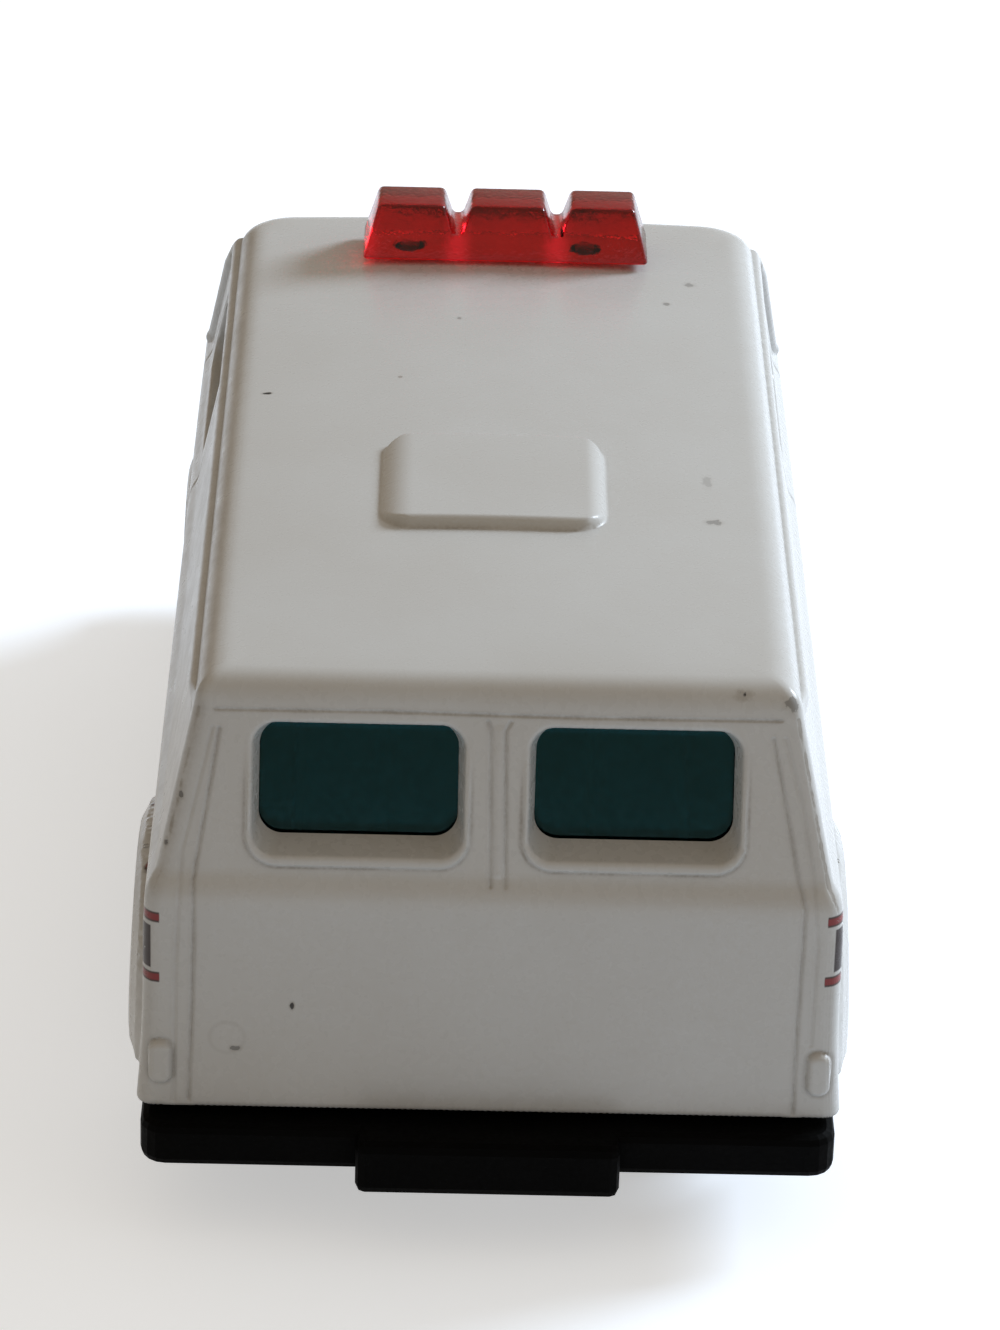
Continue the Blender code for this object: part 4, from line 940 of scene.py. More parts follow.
def castRelief(points, normals):
    # height of the relief on the skin, how dark settled grime and painted shade make it, and where its edges
    # wear
    x, y, up, along = panelCoords(points)
    height = np.zeros(len(points))
    grimeAndShade = np.zeros(len(points))
    rear = ease(-normals[:, 0], 0.25, 0.6)
    roof = ease(normals[:, 2], 0.5, 0.8)
    flank = ease(np.abs(normals[:, 1]), 0.3, 0.6)
    nose = ease(normals[:, 0], 0.3, 0.6)

    def darkenWithGrimeAndShade(amount):
        nonlocal grimeAndShade
        grimeAndShade = np.maximum(grimeAndShade, amount)

    def groove(distance, mask, width, depth, dirt):
        nonlocal height
        height = height - depth * bump(distance, width) * mask
        darkenWithGrimeAndShade(dirt * settled(distance, width * 1.15) * mask)

    width, depth = relief["seamWidth"], relief["seamDepth"]
    for seam, share in rearSeams:
        groove(lineDistance(y, up, seam), rear, width, depth * share, grimeAndShadeDepth["seam"] * share)
    height += relief["ridgeRise"] * bump(lineDistance(y, up, relief["ridge"]), relief["ridgeWidth"]) * rear
    reach, headerUp = relief["headerReach"], relief["headerUp"]
    header = [(-reach, headerUp), (-reach * 0.3, headerUp - 0.05),
              (reach * 0.4, headerUp + 0.04), (reach, headerUp)]
    away = lineDistance(y, up, header)
    groove(away, rear, relief["headerWidth"], relief["headerDepth"], grimeAndShadeDepth["header"])
    for side in (1, -1):
        low, high = rearPaneBox(side)
        mouth = boxDistance(y, along, low, high, panes["radius"])
        at = rear * (up > windowFrom)
        rim = windowRim(y, along, side)
        fade = 1 - ease(along, 2.6, 6.2)  # the raised rim dies away up the window's sides
        height += relief["lipRise"] * ease(-rim, -0.03, 0.12) * at * fade
        height += rimDrop(mouth, panes["mouth"]) * at
        darkenWithGrimeAndShade(grimeAndShadeDepth["windowRim"] * settled(rim - 0.06, 0.07) * at * fade)
    tail = tailDistance(y, up)
    dome = np.clip(-tail / relief["tailRound"], 0, 1)
    lamp = ease(-normals[:, 0], 0.1, 0.45)
    height += relief["tailRise"] * np.sqrt(np.clip(1 - (1 - dome) ** 2, 0, 1)) * lamp
    height -= relief["tailGroove"] * settled(tail - 0.07, 0.08) * lamp
    darkenWithGrimeAndShade(grimeAndShadeDepth["tail"] * settled(tail - 0.05, 0.07) * lamp)
    foot, rise = hatchShape(x, y)
    height += relief["hatchRise"] * rise * roof
    # dirt round the hatch's foot, with painted shade added along its rear foot
    atEnd = 1 - ease(x, relief["hatchLow"][0] + 0.5, relief["hatchLow"][0] + 2.0)
    darkenWithGrimeAndShade((grimeAndShadeDepth["hatch"] + grimeAndShadeDepth["hatchRearShade"] * atEnd) * settled(foot + 0.02, 0.09) * roof)
    # painted shade: the whole left flank is darkened brown, more so higher up, and mottled by the wash
    darkenWithGrimeAndShade((grimeAndShadeDepth["leftFlankShade"] + grimeAndShadeDepth["leftUpperShade"] * ease(up, 9.0, 13.0)) * flank * (y > 0))
    rail = lineDistance(x, up, railPath())
    onRail = flank * (up > upperFrom) * ease(x, rearX + 2.4, rearX + 4.4)
    height += relief["railRise"] * np.sqrt(np.clip(1 - (rail / relief["railWidth"]) ** 2, 0, 1)) * onRail
    below = lineDistance(x, up, railPath(relief["railDrop"])[:2])
    height -= relief["railGroove"] * bump(below, 0.3) * onRail
    darkenWithGrimeAndShade(grimeAndShadeDepth["rail"] * settled(below, 0.24) * onRail)
    groove(lineDistance(x, up, doorOutline()), flank, width * 1.1, depth, grimeAndShadeDepth["door"])
    for place in axleX:
        above = flareReach(x, points[:, 2], place) - np.abs(y)
        at = flank * (up < archTo)
        height += 0.5 * (above + np.hypot(above, relief["flareSoft"])) * at
        darkenWithGrimeAndShade(grimeAndShadeDepth["flare"] * settled(above + 0.05, 0.12) * at * ease(x, rearX + 4.0, rearX + 7.0))
    corner = lineDistance(np.abs(y), up, rearCorner)
    atCorner = (x < rearX + 3.0) * 1.0
    wear = settled(corner, 0.14) * atCorner * np.where(y < 0, 1.0, 0.8)
    # a darker brown band along the left rear corner only
    darkenWithGrimeAndShade(grimeAndShadeDepth["leftCorner"] * settled(corner, 0.36) * atCorner * (y > 0))
    darkenWithGrimeAndShade(grimeAndShadeDepth["foot"] * settled(up - castBody["foot"], 0.16))
    door = apertureDistance(x, up, sidePanel[1], doorCorners())
    height += rimDrop(np.maximum(door, 0), panes["mouthSide"]) * flank * (up > upperFrom)
    screen = apertureDistance(y, up, frontPanel, screenCorners())
    height += rimDrop(np.maximum(screen, 0), panes["mouthSide"]) * nose * (up > upperFrom)
    grille = grilleDistance(y, up)
    height += rimDrop(np.maximum(grille, 0), relief["grilleRound"]) * nose * (up < castBody["belt"])
    height += rimDrop(up - castBody["foot"], relief["footRound"])
    return height, grimeAndShade, wear


def crownRoof(points, onSkin):
    # the crown dies away smoothly at the ends and sides of the roof
    edge = castBody["shoulderIn"] + castBody["roofRadius"]
    reach = castBody["half"] - edge - castBody["sideLean"]
    back = rearX + edge + castBody["rearLean"]
    front = noseX - castBody["hoodRun"] - castBody["windscreenRun"] - 1.4 * castBody["roofRadius"]
    end = np.clip(np.minimum(points[:, 0] - back, front - points[:, 0]) / castBody["crownRun"], 0, 1)
    share = (1 - np.clip(np.abs(points[:, 1]) / reach, 0, 1) ** 2) * (1 - (1 - end) ** 2)
    wanted = ground + roofUp + castBody["roofCrown"] * share
    blend = ease(points[:, 2], ground + roofUp - 0.04, ground + roofUp + 0.05) * onSkin
    return points[:, 2] + (wanted - points[:, 2]) * blend


def makeBody(materials):
    levels = softLevels()
    body = loft("castBody", [planRing(level) for level in levels])
    wall = castBody["wall"]
    coarse = (3, 4, 5, 2, 4, 3)
    rough = castLevels(5)
    inner = [planRing(rough[0], wall, -2 * wall, coarse)]
    inner += [planRing(level, wall, lowered(level[0], wall), coarse) for level in rough]
    hollow = loft("castHollow", inner, 1)
    combine(body, [hollow], "DIFFERENCE")
    cutters = paneCutters()
    for x in axleX.values():
        for side in (1, -1):
            inner, outer = ((x, side * reach, axleZ) for reach in castBody["archReach"])
            cutters.append(rodItem("archCut", archRadius, inner, outer, 96, 2))
    for side in (1, -1):
        bottom, top = ((barX, side * lightBar["pegY"], roofTop + up) for up in (-4, 1))
        cutters.append(rodItem("pegHole", lightBar["pegHole"], bottom, top, 32, 2))
    half, low, high = relief["grilleHalf"], relief["grilleLow"], relief["grilleHigh"]
    outline = roundedRect((-half, ground + low), (half, ground + high), relief["grilleCorner"], 4)
    cutters.append(loft("grilleCut", [[(x, y, z) for y, z in outline] for x in (grilleBack, noseX + 1)], 2))
    combine(body, cutters, "DIFFERENCE")
    bm = bmesh.new()
    bm.from_mesh(body.data)
    bmesh.ops.triangulate(bm, faces=bm.faces, quad_method="BEAUTY", ngon_method="BEAUTY")
    bm.verts.index_update()
    points = np.array([v.co for v in bm.verts], dtype=float)
    triangles = np.array([[v.index for v in f.verts] for f in bm.faces])
    kinds = np.array([f.material_index for f in bm.faces])
    down = np.array([f.normal.z for f in bm.faces])
    bm.free()
    kinds[(kinds == 0) & (down < -0.7)] = 3
    points, triangles, kinds = refine(points, triangles, kinds, featureSize, 9)
    skin = triangles[kinds == 0]
    onSkin = np.zeros(len(points), dtype=bool)
    onSkin[skin.ravel()] = True
    points[:, 2] = crownRoof(points, onSkin)
    normals = skinNormals(points, skin)
    height, grimeAndShade, wear = castRelief(points, normals)
    for values in (height, grimeAndShade, wear):
        values[~onSkin] = 0
    points = points + normals * height[:, None]
    mesh = bpy.data.meshes.new("castBody")
    mesh.from_pydata(points, [], triangles)
    mesh.update()
    old = body.data
    body.data = mesh
    bpy.data.meshes.remove(old)
    for label, values in (("grimeAndShade", grimeAndShade), ("wear", wear)):
        mesh.attributes.new(label, "FLOAT", "POINT").data.foreach_set("value", values.astype(np.float32))
    finishPiece(body, "van", materials, 50.0)
    mesh.polygons.foreach_set("material_index", (kinds == 1).astype(np.int32))
    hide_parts("body_shell")
    print("body:", len(triangles), "faces")


# red light bar

barX = noseX - 12.25
lightBar = {
    "length": 3.9,
    "width": 13.7,
    "topLength": 2.5,
    "topWidth": 12.2,
    "rise": 2.6,
    "seat": roofTop + 0.15,
    "shift": (-0.25, -0.36, 0.0),  # the lens sits a little back and to the right of its pegs
    "notchY": {1: 2.3, -1: 2.45},
    "notchTop": 1.3,
    "notchBottom": 0.45,
    "notchDepth": 1.4,
    "edge": 0.22,
    "pegY": 4.2,
    "pegRadius": 0.75,
    "pegHole": 0.85,
    "paintedGlowY": (1.94, -2.81, 6.35),  # painted glow under the notches and at the left end, standing in for light gathering in the lens
    "paintedGlowRun": (0.85, 0.1),
    "paintedGlow": (1.0, 0.015, 0.03),
    "red": (0.58, 0.004, 0.005),
    "redDeep": (0.47, 0.003, 0.004),
}


def makeLightBar(material):
    b = lightBar
    rings = []
    for up, length, width in ((0, b["length"], b["width"]), (b["rise"], b["topLength"], b["topWidth"])):
        x, y, z = length / 2, width / 2, b["seat"] + up
        rings.append([(barX - x, -y, z), (barX + x, -y, z), (barX + x, y, z), (barX - x, y, z)])
    bar = loft("redLightBar", rings)
    top = b["seat"] + b["rise"]
    slope = (b["notchTop"] - b["notchBottom"]) / b["notchDepth"] / 2
    notches = []
    for side in (1, -1):
        middle = side * b["notchY"][side]
        low, high = top - b["notchDepth"], top + 0.5
        wide, narrow = b["notchTop"] / 2 + slope * 0.5, b["notchBottom"] / 2
        outline = [(middle - wide, high), (middle - narrow, low),
                   (middle + narrow, low), (middle + wide, high)]
        notches.append(loft("notch", [[(x, y, z) for y, z in outline] for x in (barX - 3, barX + 3)]))
    combine(bar, notches, "DIFFERENCE")
    softEdges(bar, b["edge"], 3, 15.0)
    bar.data.transform(Matrix.Translation(b["shift"]))
    pegs = [rodItem("peg", b["pegRadius"], (barX, side * b["pegY"], roofTop - 2.15),
                    (barX, side * b["pegY"], b["seat"] + 0.3), 40) for side in (1, -1)]
    combine(bar, pegs, "UNION")
    finishPiece(bar, "van", [material], 30.0)
    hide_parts("roof_light_bar")
    print("light bar:", len(bar.data.polygons), "faces")


# wheels, axles and rivets

runningGear = {
    "wheelWidth": 4.2,
    "wheelOuter": 13.8,
    "rim": 3.5,
    "bore": 0.73,
    "boss": 1.5,
    "dish": 0.55,
    "round": 0.55,
    "well": 2.0,
    "axle": 0.6,
    "axleHead": 1.05,
    "axleHeadRise": 0.45,
    "steps": 96,
}


def wheelProfile():
    g = runningGear
    half = g["wheelWidth"] / 2
    dish, rim = g["dish"], g["rim"]
    profile = [(g["bore"], half - dish * 0.5), (g["boss"] * 0.86, half - dish * 0.5)]
    profile += [(g["boss"] * 0.86 + 0.2 * math.sin(t), half - dish * 0.5 - 0.2 * (1 - math.cos(t)))
                for t in np.radians((30, 60, 90))]
    profile += [(g["boss"] * 1.12, half - dish), (rim * 0.62, half - dish), (rim * 0.64, half - dish * 0.72),
                (rim * 0.72, half - dish * 0.72), (rim * 0.74, half - dish), (rim * 0.88, half - dish)]
    profile += [(rim * 0.92, half - dish * 0.5), (rim * 0.96, half - 0.06), (rim * 1.0, half),
                (rim * 1.05, half - 0.05), (rim * 1.08, half - 0.16), (rim * 1.13, half - 0.16),
                (rim * 1.17, half - 0.02)]
    r = g["round"]
    profile += [(wheelRadius - r + r * math.sin(t), half - r + r * math.cos(t)) for t in arcTurns(0, 90, 9)]
    for at in (0.9, 0.0, -0.9):  # shallow tread grooves
        profile += [(wheelRadius, at + 0.16), (wheelRadius - 0.09, at + 0.1), (wheelRadius - 0.09, at - 0.1),
                    (wheelRadius, at - 0.16)]
    profile += [(wheelRadius - r + r * math.cos(t), -half + r - r * math.sin(t)) for t in arcTurns(0, 90, 7)]
    profile += [(rim * 1.15, -half), (rim * 1.1, -half + g["well"]), (g["boss"], -half + g["well"]),
                (g["boss"], -half), (g["bore"], -half)]
    return profile


def makeWheels(materials):
    g = runningGear
    middle = g["wheelOuter"] - g["wheelWidth"] / 2
    hubLimit = g["rim"] * 1.06
    hubFace = g["wheelWidth"] / 2 - g["dish"] * 1.1
    for place, x in axleX.items():
        for side, hand in ((1, "left"), (-1, "right")):
            wheel = lathe("wheel_%s_%s_look" % (place, hand), wheelProfile(), g["steps"],
                          (x, side * middle, axleZ), (0, side, 0))
            body = "wheel_" + place[0] + hand[0]
            marks = []
            for face in wheel.data.polygons:
                c = face.center
                radius = math.hypot(c.x - x, c.z - axleZ)
                outward = (c.y - side * middle) * side
                marks.append(1 if radius < hubLimit and outward > hubFace else 0)
            finishPiece(wheel, body, materials, 40.0)
            wheel.data.polygons.foreach_set("material_index", np.array(marks, dtype=np.int32))
            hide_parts("wheel_%s_%s" % (place, hand))
    print("wheels: 4")


def makeAxles(material):
    g = runningGear
    half = g["wheelOuter"] - g["dish"] * 0.5 + 0.25
    wide, rise = g["axleHead"], g["axleHeadRise"]
    head = [(wide * math.sin(t), half + rise * math.cos(t)) for t in arcTurns(0, 90, 9)]
    head[0] = (0.0, head[0][1])
    profile = head + [(g["axle"], half)]
    profile += [(r, -a) for r, a in reversed(profile)]
    for place, x in axleX.items():
        axle = lathe(place + "_axle_look", profile, 48, (x, 0, axleZ), (0, 1, 0))
        finishPiece(axle, "axle_" + place, [material], 40.0)
        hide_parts(place + "_axle")


rivets = {
    "places": {"front": noseX - 3.02, "rear": rearX + 2.9},
    "radius": 0.8,
    "head": 1.7,
    "headRise": 0.45,
    "seat": 4.05,
    "tip": ground + 4.45,
}


def makeRivets(material):
    r = rivets
    radius, tip = r["radius"], r["tip"]
    head, rise, seat = r["head"], r["headRise"], r["seat"]
    profile = [(0.0, tip), (radius * 0.7, tip), (radius, tip - 0.24), (radius, seat), (head, seat)]
    profile += [(head * math.cos(t), seat - rise * math.sin(t)) for t in arcTurns(8, 82, 9)]
    profile += [(0.16, seat - rise), (0.0, seat - rise + 0.05)]
    for place, x in r["places"].items():
        rivet = lathe(place + "_rivet_look", profile, 48, (x, 0, 0), (0, 0, 1))
        finishPiece(rivet, "van", [material], 40.0)
        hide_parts(place + "_rivet")


# nose details

noseFace = {"bars": 5, "bar": 0.34, "lampY": 8.75, "lampRadius": 2.1}


def makeNose(barMaterial, lampMaterial):
    low, high = ground + relief["grilleLow"], ground + relief["grilleHigh"]
    pitch = (high - low) / (noseFace["bars"] + 1)
    half, thick = relief["grilleHalf"], noseFace["bar"]
    grille = None
    for k in range(noseFace["bars"]):
        z = low + pitch * (k + 1)
        rings = []
        for y in np.linspace(-half - 0.15, half + 0.15, 13):
            face = noseX - castBody["noseBow"] * (0.12 + (y / 11.0) ** 2) - 0.14
            outline = roundedRect((grilleBack - 0.1, z - thick / 2), (face, z + thick / 2), 0.12, 3)
            rings.append([(x, y, h) for x, h in outline])
        bar = loft("grilleBars", rings)
        if grille is None:
            grille = bar
        else:
            combine(grille, [bar], "UNION")
    finishPiece(grille, "van", [barMaterial], 40.0)
    r = noseFace["lampRadius"]
    profile = [(r * 0.8 * math.sin(t), 0.28 + 0.34 * math.cos(t)) for t in arcTurns(0, 78, 9)]
    profile[0] = (0.0, profile[0][1])
    profile += [(r * 0.82, 0.20), (r * 0.86, 0.20), (r * 0.88, 0.36), (r * 0.93, 0.44), (r * 0.98, 0.38),
                (r, 0.22), (r, -0.9), (0.0, -0.9)]
    seat = noseX - castBody["noseBow"] * 0.9
    for side, hand in ((1, "left"), (-1, "right")):
        centre = (seat, side * noseFace["lampY"], (low + high) / 2)
        lamp = lathe("headlamp_" + hand, profile, 64, centre, (1, 0, 0))
        finishPiece(lamp, "van", [lampMaterial], 40.0)
    print("nose: grille and lamps")


# shared shader groups, all in millimetres of the van's own frame


def newGroup(name, inputs, outputs):
    group = bpy.data.node_groups.new(name, "ShaderNodeTree")
    for label, kind, start in inputs:
        socket = group.interface.new_socket(name=label, in_out="INPUT", socket_type="NodeSocket" + kind)
        if start is not None:
            socket.default_value = start
    for label, kind in outputs:
        group.interface.new_socket(name=label, in_out="OUTPUT", socket_type="NodeSocket" + kind)
    source = addNode(group, "NodeGroupInput", (-900, 0))
    sink = addNode(group, "NodeGroupOutput", (900, 0))
    return group, source.outputs, sink.inputs


def placeGroup(tree, group, **values):
    node = addNode(tree, "ShaderNodeGroup")
    node.node_tree = group
    for label, value in values.items():
        feed(tree, value, node.inputs[label])
    return node.outputs


def noise(tree, vector, scale, detail=3.0, rough=0.55):
    node = addNode(tree, "ShaderNodeTexNoise")
    wire(tree, vector, node.inputs["Vector"])
    feed(tree, scale, node.inputs["Scale"])
    node.inputs["Detail"].default_value = detail
    node.inputs["Roughness"].default_value = rough
    return node.outputs


def span(tree, value, low, high, start=0.0, end=1.0):
    node = addNode(tree, "ShaderNodeMapRange", interpolation_type="SMOOTHSTEP")
    wire(tree, value, node.inputs["Value"])
    for label, number in (("From Min", low), ("From Max", high), ("To Min", start), ("To Max", end)):
        feed(tree, number, node.inputs[label])
    return node.outputs["Result"]


def blendColour(tree, factor, first, second):
    node = addNode(tree, "ShaderNodeMix", data_type="RGBA")
    for index, value in ((0, factor), (6, first), (7, second)):
        if isinstance(value, tuple) and len(value) == 3:
            value = (*value, 1.0)
        feed(tree, value, node.inputs[index])
    return node.outputs[2]


def scaled(tree, vector, factors):
    node = addNode(tree, "ShaderNodeVectorMath", operation="MULTIPLY")
    wire(tree, vector, node.inputs[0])
    node.inputs[1].default_value = factors
    return node.outputs[0]


def spotChipGroup():
    # one ragged chip or mark round a place on the surface
    group, take, give = newGroup(
        "spotChip",
        (("Vector", "Vector", None), ("Centre", "Vector", None), ("Stretch", "Vector", (1.0, 1.0, 1.0)),
         ("Radius", "Float", 0.3), ("Ragged", "Float", 0.5)),
        (("Mask", "Float"), ("Rim", "Float")),
    )
    away = addNode(group, "ShaderNodeVectorMath", operation="SUBTRACT")
    wire(group, take["Vector"], away.inputs[0])
    wire(group, take["Centre"], away.inputs[1])
    squeezed = addNode(group, "ShaderNodeVectorMath", operation="MULTIPLY")
    wire(group, away.outputs[0], squeezed.inputs[0])
    wire(group, take["Stretch"], squeezed.inputs[1])
    length = addNode(group, "ShaderNodeVectorMath", operation="LENGTH")
    wire(group, squeezed.outputs[0], length.inputs[0])
    wobble = noise(group, take["Vector"], 3.4, 4.0, 0.62)[0]
    wobble = mathNode(group, "SUBTRACT", wobble, 0.5)
    wobble = mathNode(group, "MULTIPLY", wobble, take["Ragged"])
    reach = mathNode(group, "DIVIDE", length.outputs["Value"], take["Radius"])
    reach = mathNode(group, "ADD", reach, mathNode(group, "MULTIPLY", wobble, 2.6))
    wire(group, span(group, reach, 1.05, 0.85), give["Mask"])
    wire(group, span(group, reach, 1.9, 1.0), give["Rim"])
    return group


def grimeAndShadeWashGroup():
    # brown dirt that has settled in low places, together with painted shade, broken up
    group, take, give = newGroup(
        "grimeAndShadeWash",
        (("Vector", "Vector", None), ("Cavity", "Float", 0.0), ("Amount", "Float", 1.0)),
        (("Mask", "Float"),),
    )
    patch = noise(group, take["Vector"], 0.55, 5.0, 0.62)[0]
    patch = span(group, patch, 0.30, 0.66, 0.35, 1.0)
    grain = noise(group, take["Vector"], 6.0, 2.0, 0.5)[0]
    grain = span(group, grain, 0.32, 0.62, 0.6, 1.0)
    mask = mathNode(group, "MULTIPLY", take["Cavity"], patch)
    mask = mathNode(group, "MULTIPLY", mask, grain)
    mask = mathNode(group, "MULTIPLY", mask, take["Amount"], clamp=True)
    wire(group, mask, give["Mask"])
    return group


def surfaceGrainGroup():
    # fine uneven surface of paint or moulded plastic
    group, take, give = newGroup(
        "surfaceGrain",
        (("Vector", "Vector", None), ("Broad", "Float", 0.4), ("Fine", "Float", 6.0)),
        (("Tone", "Float"), ("Gloss", "Float"), ("Height", "Float")),
    )
    broad = noise(group, take["Vector"], take["Broad"], 3.0, 0.55)[0]
    fine = noise(group, take["Vector"], take["Fine"], 2.0, 0.5)[0]
    wire(group, span(group, broad, 0.25, 0.75), give["Tone"])
    wire(group, span(group, fine, 0.3, 0.7), give["Gloss"])
    height = mathNode(group, "MULTIPLY_ADD", fine, 0.45, mathNode(group, "MULTIPLY", broad, 0.55))
    wire(group, height, give["Height"])
    return group


def scuffGroup():
    # short fine scratches that run in several directions
    group, take, give = newGroup(
        "scuffLines",
        (("Vector", "Vector", None), ("Density", "Float", 0.5)),
        (("Mask", "Float"),),
    )
    total = None
    for turn, stretch in ((0.4, 9.0), (1.3, 11.0), (2.3, 8.0)):
        spin = addNode(group, "ShaderNodeVectorRotate", rotation_type="EULER_XYZ")
        wire(group, take["Vector"], spin.inputs["Vector"])
        spin.inputs["Rotation"].default_value = (turn, turn * 0.7, turn)
        stretched = scaled(group, spin.outputs[0], (0.35, stretch, stretch))
        lines = noise(group, stretched, 1.0, 1.0, 0.4)[0]
        lines = span(group, lines, 0.74, 0.80)
        total = lines if total is None else mathNode(group, "MAXIMUM", total, lines)
    place = noise(group, take["Vector"], 0.22, 2.0, 0.5)[0]
    place = span(group, place, 0.48, 0.62)
    mask = mathNode(group, "MULTIPLY", total, place)
    wire(group, mathNode(group, "MULTIPLY", mask, take["Density"], clamp=True), give["Mask"])
    return group


def speckGroup():
    # sparse specks of dirt
    group, take, give = newGroup(
        "dirtSpecks",
        (("Vector", "Vector", None), ("Scale", "Float", 0.8), ("Size", "Float", 0.1)),
        (("Mask", "Float"),),
    )
    cells = addNode(group, "ShaderNodeTexVoronoi", feature="F1")
    wire(group, take["Vector"], cells.inputs["Vector"])
    wire(group, take["Scale"], cells.inputs["Scale"])
    cells.inputs["Randomness"].default_value = 1.0
    pick = addNode(group, "ShaderNodeSeparateColor")
    wire(group, cells.outputs["Color"], pick.inputs[0])
    chosen = span(group, pick.outputs[0], 0.80, 0.84)
    reach = mathNode(group, "MULTIPLY", take["Size"], mathNode(group, "ADD", pick.outputs[1], 0.35))
    edge = mathNode(group, "DIVIDE", cells.outputs["Distance"], reach)
    wire(group, mathNode(group, "MULTIPLY", span(group, edge, 1.0, 0.7), chosen), give["Mask"])
    return group


spotChip = spotChipGroup()
grimeAndShadeWash = grimeAndShadeWashGroup()
surfaceGrain = surfaceGrainGroup()
scuffLines = scuffGroup()
dirtSpecks = speckGroup()


def newMaterial(name, **values):
    material = bpy.data.materials.new(name)
    material.use_nodes = True
    tree = material.node_tree
    shader = tree.nodes["Principled BSDF"]
    for label, value in values.items():
        label = label.replace("_", " ")
        shader.inputs[label].default_value = (*value, 1.0) if isinstance(value, tuple) else value
    coord = addNode(tree, "ShaderNodeTexCoord", (-1800, 0))
    place = scaled(tree, coord.outputs["Object"], (1000.0, 1000.0, 1000.0))
    return material, tree, shader, place


def dressShader(tree, shader, colour, rough, height, depth):
    wire(tree, colour, shader.inputs["Base Color"])
    wire(tree, rough, shader.inputs["Roughness"])
    node = addNode(tree, "ShaderNodeBump")
    node.inputs["Strength"].default_value = 1.0
    node.inputs["Distance"].default_value = depth * mm
    wire(tree, height, node.inputs["Height"])
    wire(tree, node.outputs["Normal"], shader.inputs["Normal"])


paintLook = {
    "white": (0.585, 0.585, 0.572),
    "whiteWarm": (0.565, 0.560, 0.542),
    "grimeAndShade": (0.15, 0.11, 0.07),
    "chip": (0.030, 0.027, 0.026),
    "chipRim": (0.24, 0.20, 0.15),
    "roughness": 0.28,
    "peel": 0.005,
    "stripeRed": (0.24, 0.028, 0.028),
    "stripeDark": (0.034, 0.022, 0.022),
    "stripeEdge": (0.06, 0.03, 0.025),
    "stripes": ((9.70, 0.24, 0), (6.86, 0.24, 0), (8.28, 1.0, 1)),  # height up the flank, half width, colour
    "stripeTilt": 0.015,  # printed a little out of level
    "stripeStart": (13.84, 14.2),  # how far out from the middle each colour starts on the rear corner
    "stripeEnd": (noseX - 4.6, noseX - 6.4),
}
paintMarks = (  # centre, stretch, radius, raggedness and depth of colour of each chip or mark
    ((rearX + 30.32, 10.50, 25.1), (1.9, 1.0, 0.3), 0.20, 0.5, 1.0),
    ((rearX + 41.33, -7.97, 25.1), (1.0, 1.0, 0.3), 0.17, 0.5, 0.40),
    ((rearX + 43.80, -9.14, 25.1), (1.0, 1.0, 0.3), 0.22, 0.6, 0.35),
    ((rearX + 17.60, -9.31, 25.1), (1.3, 0.9, 0.3), 0.30, 0.9, 0.38),
    ((rearX + 21.68, -9.19, 25.1), (0.8, 2.2, 0.3), 0.42, 1.0, 0.18),
    ((rearX + 38.72, 1.83, 25.2), (1.0, 1.2, 0.3), 0.14, 0.5, 0.35),
    ((rearX + 2.21, -9.98, 24.71), (1.2, 0.8, 1.0), 0.26, 0.7, 1.0),
    ((rearX + 2.12, -12.04, 24.29), (1.0, 1.0, 0.8), 0.30, 0.9, 0.45),
    ((rearX + 1.22, 12.99, 19.94), (0.6, 1.3, 0.8), 0.13, 0.7, 0.6),
    ((rearX + 0.80, 13.62, 17.90), (0.6, 1.2, 0.8), 0.15, 0.7, 0.65),
    ((rearX, 8.31, 10.72), (0.6, 1.5, 0.9), 0.15, 0.5, 0.95),
    ((rearX, 10.68, 8.59), (0.6, 0.9, 1.6), 0.20, 0.8, 0.55),
)
smudge = ((rearX, 11.02, 9.11), 0.73, 0.16)  # stained ring on the rear: centre, radius and width


def stripeMask(tree, axes, up, half, tint):
    # printed band on the flanks, broken at the wheel arches
    x, y, z = axes
    start, end = paintLook["stripeStart"][tint], paintLook["stripeEnd"][tint]
    level = mathNode(tree, "MULTIPLY_ADD", y, paintLook["stripeTilt"], z)
    offset = mathNode(tree, "ABSOLUTE", mathNode(tree, "SUBTRACT", level, ground + up))
    mask = span(tree, offset, half + 0.04, half - 0.04)
    out = mathNode(tree, "ABSOLUTE", y)
    mask = mathNode(tree, "MULTIPLY", mask, span(tree, out, start - 0.03, start + 0.03))
    mask = mathNode(tree, "MULTIPLY", mask, span(tree, x, end + 0.04, end - 0.04))
    for place in axleX.values():
        dx = mathNode(tree, "SUBTRACT", x, place)
        dz = mathNode(tree, "SUBTRACT", z, axleZ)
        squares = [mathNode(tree, "MULTIPLY", d, d) for d in (dx, dz)]
        away = mathNode(tree, "SQRT", mathNode(tree, "ADD", *squares))
        edge = archRadius + relief["flareAbove"]
        mask = mathNode(tree, "MULTIPLY", mask, span(tree, away, edge, edge + 0.06))
    return mask


